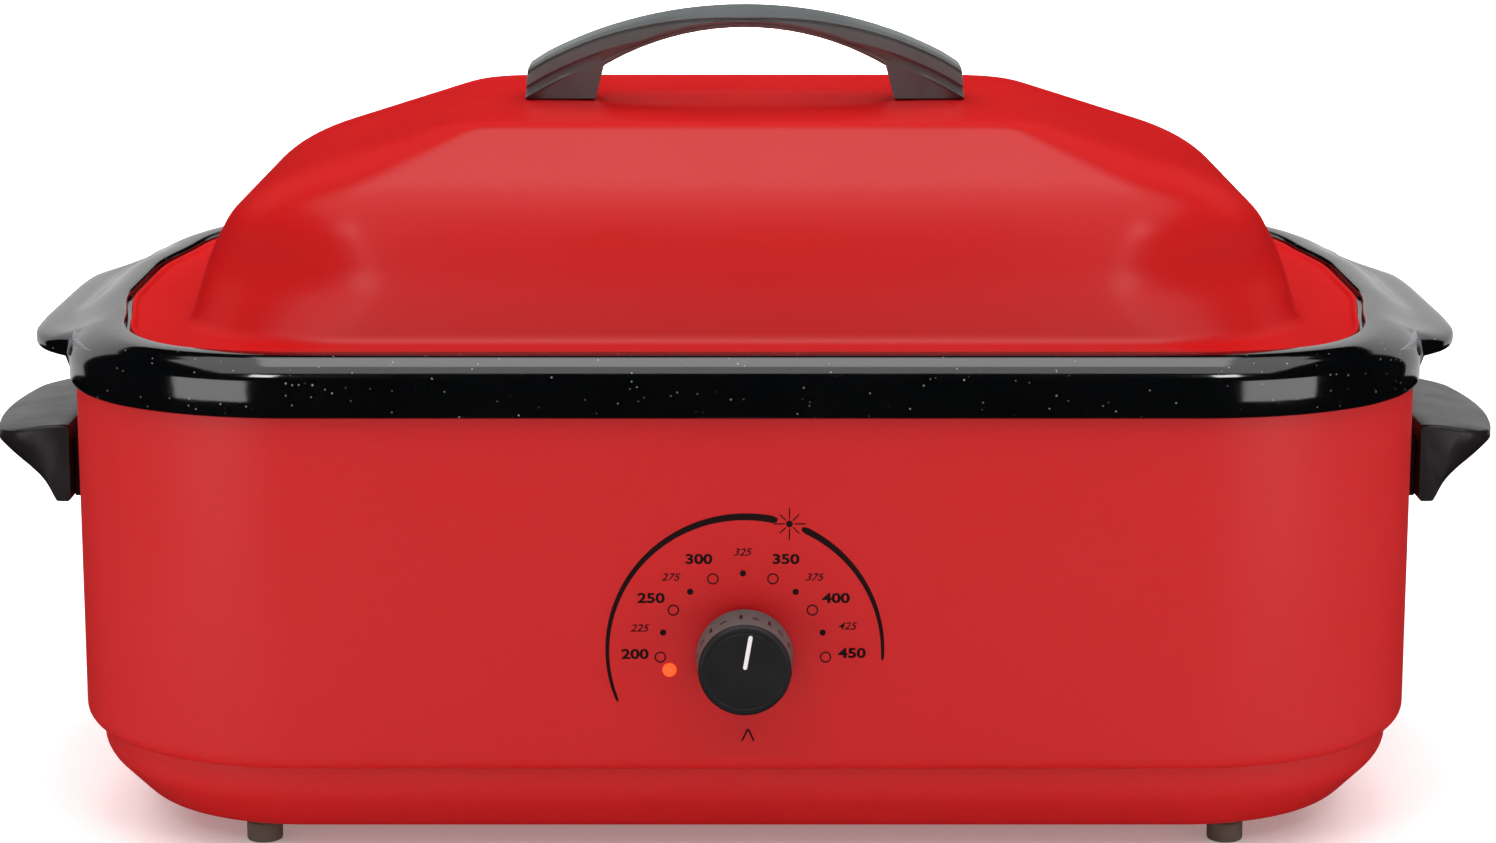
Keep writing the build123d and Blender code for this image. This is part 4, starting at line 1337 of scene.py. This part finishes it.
@dataclass
class DialPrint(Assembly):
    """The print round the knob: sweep line, rings, dots and plain numbers.

    Its seat stands on the knob's axis, +Z towards the person.

    Attributes:
        mark_turns: Degrees from the top to the marks on one side, a dot at the top and then in turn.
        numbers: Text, place across and place up of each main number.
        between: The same for the small numbers between them.
    """

    lift: float = 0.03
    film: float = 0.05
    ring_radii: tuple[float, float] = (2.1, 1.62)
    dot_radius: float = 1.15
    mark_circle: float = 30.4
    mark_turns: tuple[float, ...] = (0.0, 21.2, 39.5, 57.0, 74.6, 92.4)
    numbers: tuple[tuple[str, float, float], ...] = (
        ("200", -40.36, 0.51), ("250", -34.37, 21.71), ("300", -16.75, 36.4),
        ("350", 15.07, 36.4), ("400", 33.42, 21.71), ("450", 39.4, 0.89),
    )
    between: tuple[tuple[str, float, float], ...] = (
        ("225", -38.47, 10.37), ("275", -27.01, 29.63), ("325", -0.66, 39.03),
        ("375", 25.7, 29.63), ("425", 37.88, 11.13),
    )
    middle: tuple[float, float] = (-0.7, 0.6)
    sweep_middle: tuple[float, float] = (0.07, 1.65)
    sweep_radius: float = 50.6
    sweep_ends: tuple[float, float] = (-112.3, 94.0)
    sweep_taper: float = 0.55
    left_widths: tuple[float, float] = (1.15, 2.7)
    right_widths: tuple[float, float] = (2.5, 1.15)
    gap_turn: float = 18.7
    gap_sides: tuple[float, float] = (5.2, 5.6)
    disc_radius: float = 1.25
    dash_count: int = 8
    dash_start: float = 1.8
    dash_width: float = 0.42
    dash_lengths: tuple[float, float] = (4.2, 3.2)
    arrow_tip: tuple[float, float] = (1.18, -30.4)
    arrow_spread: float = 1.15
    arrow_lean: float = 0.43
    arrow_size: tuple[float, float] = (0.62, 5.0)

    def on_wall(self, x: float, y: float) -> Matrix:
        """Returns the seat of a mark at a place on the wall."""
        return self.seat @ Matrix.Translation((x, y, self.lift))

    def around(self, middle: Sequence[float], radius: float, turn: float) -> Matrix:
        """Returns the seat of a mark on a circle, at degrees clockwise from its top."""
        angle = math.radians(turn)
        return self.on_wall(middle[0] + radius * math.sin(angle), middle[1] + radius * math.cos(angle))

    def sweep(self, name: str, first: float, last: float, width: Sequence[float]) -> Piece:
        """Draws one tapered arc.

        Args:
            name: Its name.
            first: Where it starts, in degrees clockwise from the top.
            last: Where it ends.
            width: Its width at the start and at the end.

        Returns:
            The arc.
        """
        steps = max(8, int(abs(last - first) / 2))
        rings = []
        for step in range(steps + 1):
            share = step / steps
            turn = math.radians(first + (last - first) * share)
            half = (width[0] + (width[1] - width[0]) * share) / 2
            if step in (0, steps):
                half *= self.sweep_taper
            direction = Vector((math.sin(turn), math.cos(turn), 0))
            inner = direction * (self.sweep_radius - half)
            outer = direction * (self.sweep_radius + half)
            up = Vector((0, 0, self.film))
            rings.append([inner, outer, outer + up, inner + up])
        return moulded(name, self.on_wall(*self.sweep_middle), rings, 30.0)

    def number(self, text: str, x: float, y: float, style: Lettering) -> Piece:
        """Writes one plain number as a mesh, its middle at x across and y up."""
        bpy.ops.object.text_add()
        label = bpy.context.object
        label.name = f"dial_{text}"
        assign(
            label.data, body=text, size=style.height / DIGIT_HEIGHT, align_x="CENTER", align_y="CENTER",
            shear=style.lean, offset=style.bold * style.height, extrude=self.film / 2, resolution_u=6,
        )
        bpy.ops.object.convert(target="MESH")
        label = bpy.context.object
        bpy.ops.object.mode_set(mode="EDIT")
        close_up(GLYPH_MERGE)
        shape = Matrix.Diagonal((style.stretch, 1, 1, 1))
        middle = sum((Vector(corner) for corner in label.bound_box), Vector()) / 8
        label.data.transform(self.on_wall(x, y) @ shape @ Matrix.Translation(-middle))
        return label

    def flare(self) -> list[Piece]:
        """Draws the plain disc with eight short dashes that fills the sweep's gap."""
        gap = self.around(self.sweep_middle, self.sweep_radius, self.gap_turn)
        made = [flat_disc("dial_disc", gap, self.disc_radius, self.film)]
        for number in range(self.dash_count):
            spin = Matrix.Rotation(2 * math.pi * number / self.dash_count, 4, "Z")
            length = self.dash_lengths[number % 2]
            place = gap @ spin @ Matrix.Translation((0, self.dash_start + length / 2, 0))
            made.append(flat_bar(f"dial_dash_{number}", place, self.dash_width, length, self.film))
        return made

    def arrow(self) -> list[Piece]:
        """Draws the open arrow head under the knob."""
        made = []
        for side in (-1, 1):
            place = self.on_wall(self.arrow_tip[0] + side * self.arrow_spread, self.arrow_tip[1])
            place = place @ Matrix.Rotation(side * self.arrow_lean, 4, "Z")
            made.append(flat_bar("dial_arrow", place, *self.arrow_size, self.film))
        return made

    def build(self) -> None:
        """Builds the print as one piece and dresses it."""
        made = self.flare() + self.arrow()
        turns = [-turn for turn in self.mark_turns[:0:-1]] + list(self.mark_turns)
        for number, turn in enumerate(turns):
            place = self.around(self.middle, self.mark_circle, turn)
            if number % 2:
                made.append(flat_disc(f"dial_dot_{number}", place, self.dot_radius, self.film))
            else:
                made.append(flat_ring(f"dial_ring_{number}", place, *self.ring_radii, self.film))
        made += [self.number(*row, MAIN_NUMBERS) for row in self.numbers]
        made += [self.number(*row, SMALL_NUMBERS) for row in self.between]
        left, right = self.sweep_ends
        before, after = self.gap_turn - self.gap_sides[0], self.gap_turn + self.gap_sides[1]
        made.append(self.sweep("dial_sweep_left", left, before, self.left_widths))
        made.append(self.sweep("dial_sweep_right", after, right, self.right_widths))
        self.dress(join("dial_print", made), Rides.OVEN, finish="print_ink")


def join(name: str, parts: Sequence[Piece]) -> Piece:
    """Joins several meshes into one piece with this name."""
    pick(*parts)
    bpy.ops.object.join()
    whole = bpy.context.object
    whole.name = name
    whole.data.name = name
    return whole


def carried_over(frame: dict[str, Any], finishes: dict[str, Paint]) -> None:
    for row in frame["record"]["subparts"]:
        node, slot = frame["nodes"][row["node"]], row["material_slot"]
        node.data.materials.clear()
        node.data.materials.append(finishes[slot])


# -------------------------------------------------------------------- studio
@dataclass(frozen=True)
class Softbox:
    """One rectangular softbox, placed from the body's middle, in metres.

    Attributes:
        name: Its name.
        place: Its middle.
        aim: The point it faces.
        size: Width and height.
        glow: Its radiance, against a white that renders as one.
        paired: Whether a second one stands mirrored on the left.
        in_gloss: Whether it shows in glossy reflections.
        dark_only: Whether it lights the black pieces alone.
    """

    name: str
    place: tuple[float, float, float]
    aim: tuple[float, float, float]
    size: tuple[float, float]
    glow: float
    paired: bool = False
    in_gloss: bool = True
    dark_only: bool = False


SOFTBOXES = (
    Softbox("overhead", (0, -0.6, 1.6), (0, -0.6, 0), (2.6, 1.35), 1.07),
    Softbox("zenith", (0, 0, 1.9), (0, 0, 0), (1.2, 1.2), 1.33),
    Softbox("zenith_fill", (0, 0.1, 1.9), (0, 0, 0), (1.0, 1.0), 0.4, in_gloss=False),
    Softbox("front_fill", (0, -0.9, 1.5), (0, 0, 0.2), (2.0, 0.6), 0.27, in_gloss=False),
    Softbox("backdrop", (0, 3.4, 1.8), (0, 3.4, 0), (7.0, 4.2), 4.3, in_gloss=False),
    Softbox("low", (0.66, -0.683, 0.13), (0.2, -0.12, 0.13), (0.46, 0.24), 1.89, paired=True),
    Softbox("high", (0.634, -1.36, 1.22), (0.15, -0.1, 0.2), (0.3, 0.3), 8.2, paired=True),
    Softbox("side", (1.594, -0.139, 0.5), (0, 0, 0.12), (1.6, 0.9), 0.31, paired=True, in_gloss=False),
    Softbox("wing", (0.502, 0.557, 0.3), (0.25, 0, 0.17), (0.8, 0.6), 0.63, paired=True, dark_only=True),
)


@dataclass
class Studio:
    """Floor, backdrop, lamps and camera.

    Attributes:
        middle_y: The body's middle in the model's metres.
    """

    middle_y: float
    sensor: float = 36.0
    focal_pixels: float = 3700.0
    picture: tuple[float, float] = (1496.0, 843.0)
    principal: tuple[float, float] = (744.8, 421.5)
    tilt: float = 0.1985
    stand: tuple[float, float] = (-1.5, 0.4355)
    sky_glow: float = 0.38
    floor_glow: float = 0.2

    def camera(self) -> None:
        """Places the camera."""
        place = (0.0, self.stand[0] + self.middle_y, self.stand[1])
        turn = (math.pi / 2 - self.tilt, 0.0, 0.0)
        bpy.ops.object.camera_add(location=place, rotation=turn)
        camera = bpy.context.object
        width, height = self.picture
        assign(
            camera.data, sensor_width=self.sensor, lens=self.focal_pixels / width * self.sensor,
            shift_x=(width / 2 - self.principal[0]) / width,
            shift_y=(self.principal[1] - height / 2) / width, clip_start=0.01,
        )
        bpy.context.scene.camera = camera

    def softbox(self, box: Softbox, side: int, dark: bpy.types.Collection) -> None:
        """Hangs one softbox.

        Args:
            box: What it is.
            side: One as given, minus one for its mirrored twin.
            dark: The black pieces.
        """
        name = f"{box.name}_{'right' if side > 0 else 'left'}" if box.paired else box.name
        data = bpy.data.lights.new(name, "AREA")
        width, height = box.size
        energy = box.glow * math.pi * width * height
        assign(data, shape="RECTANGLE", size=width, size_y=height, energy=energy)
        lamp = bpy.data.objects.new(name, data)
        bpy.context.scene.collection.objects.link(lamp)
        place, aim = (Vector((x * side, y + self.middle_y, z)) for x, y, z in (box.place, box.aim))
        lamp.location = place
        lamp.rotation_euler = (aim - place).to_track_quat("-Z", "Y").to_euler()
        assign(lamp, visible_camera=False, visible_glossy=box.in_gloss)
        if box.dark_only:
            lamp.light_linking.receiver_collection = dark

    def floor(self) -> None:
        """Lays the pale floor."""
        bpy.ops.mesh.primitive_plane_add(size=30.0)
        floor = bpy.context.object
        floor.name = "floor_paper"
        paint = bpy.data.materials.new("white paper, matt")
        paint.use_nodes = True
        tree = paint.node_tree
        links = {"Base Color": linear("fafafa"), "Roughness": 1.0, "Specular IOR Level": 0.0}
        links |= {"Emission Color": WHITE, "Emission Strength": self.floor_glow}
        feed(tree, tree.nodes["Principled BSDF"], links)
        floor.data.materials.append(paint)
        floor.visible_glossy = False
        floor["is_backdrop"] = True

    def sky(self) -> None:
        """Sets an even white surround for soft light, dark in mirror reflections."""
        world = bpy.data.worlds.new("white_tent")
        world.use_nodes = True
        tree = world.node_tree
        way = add_node(tree, "ShaderNodeTexCoord").outputs["Generated"]
        height = add_node(tree, "ShaderNodeSeparateXYZ", {"Vector": way}).outputs["Z"]
        soft = remap(tree, height, (0.0, 0.5), (0.0, self.sky_glow))
        feed(tree, tree.nodes["Background"], {"Strength": soft, "Color": WHITE})
        world.cycles_visibility.glossy = False
        bpy.context.scene.world = world

    def build(self, dark_pieces: Sequence[Piece]) -> None:
        """Builds the studio; the dark pieces alone take the wing cards' light."""
        dark = bpy.data.collections.new("lit_by_wing_cards")
        for piece in dark_pieces:
            dark.objects.link(piece)
        self.camera()
        self.floor()
        self.sky()
        for box in SOFTBOXES:
            for side in (1, -1) if box.paired else (1,):
                self.softbox(box, side, dark)
        bpy.context.scene.view_settings.view_transform = "Standard"


def main() -> None:
    """Builds the oven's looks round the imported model, then the studio."""
    logging.basicConfig(level=logging.INFO, format="%(message)s")
    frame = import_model()
    low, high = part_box("base_pan")
    middle_y = (low.y + high.y) / 2
    shell_low, shell_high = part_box("outer_shell")
    half_x = shell_high.x / MM
    half_y = (middle_y - shell_low.y) / MM
    seat = Matrix.Translation((0, middle_y, 0)) @ Matrix.Scale(MM, 4)

    paint = {slot: finish.make() for slot, finish in FINISHES.items()}
    carried_over(frame, paint)
    body = Body(seat, paint, half_x, half_y)
    body.build()
    Cookwell(seat, paint, body).build()
    Lid(seat, paint).build()
    LidHandle(seat, paint).build()
    SideHandles(seat, paint, half_x).build()
    dial = Matrix.Translation((0, shell_low.y, KNOB_AXIS * MM)) @ Matrix.Rotation(math.pi / 2, 4, "X")
    dial = dial @ Matrix.Scale(MM, 4)
    Controls(dial, paint).build()
    DialPrint(dial, paint).build()
    dark_finishes = [paint[name] for name in DARK_FINISHES]
    dark = [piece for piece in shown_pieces() if piece.data.materials[0] in dark_finishes]
    Studio(middle_y).build(dark)


if __name__ == "__main__":
    main()
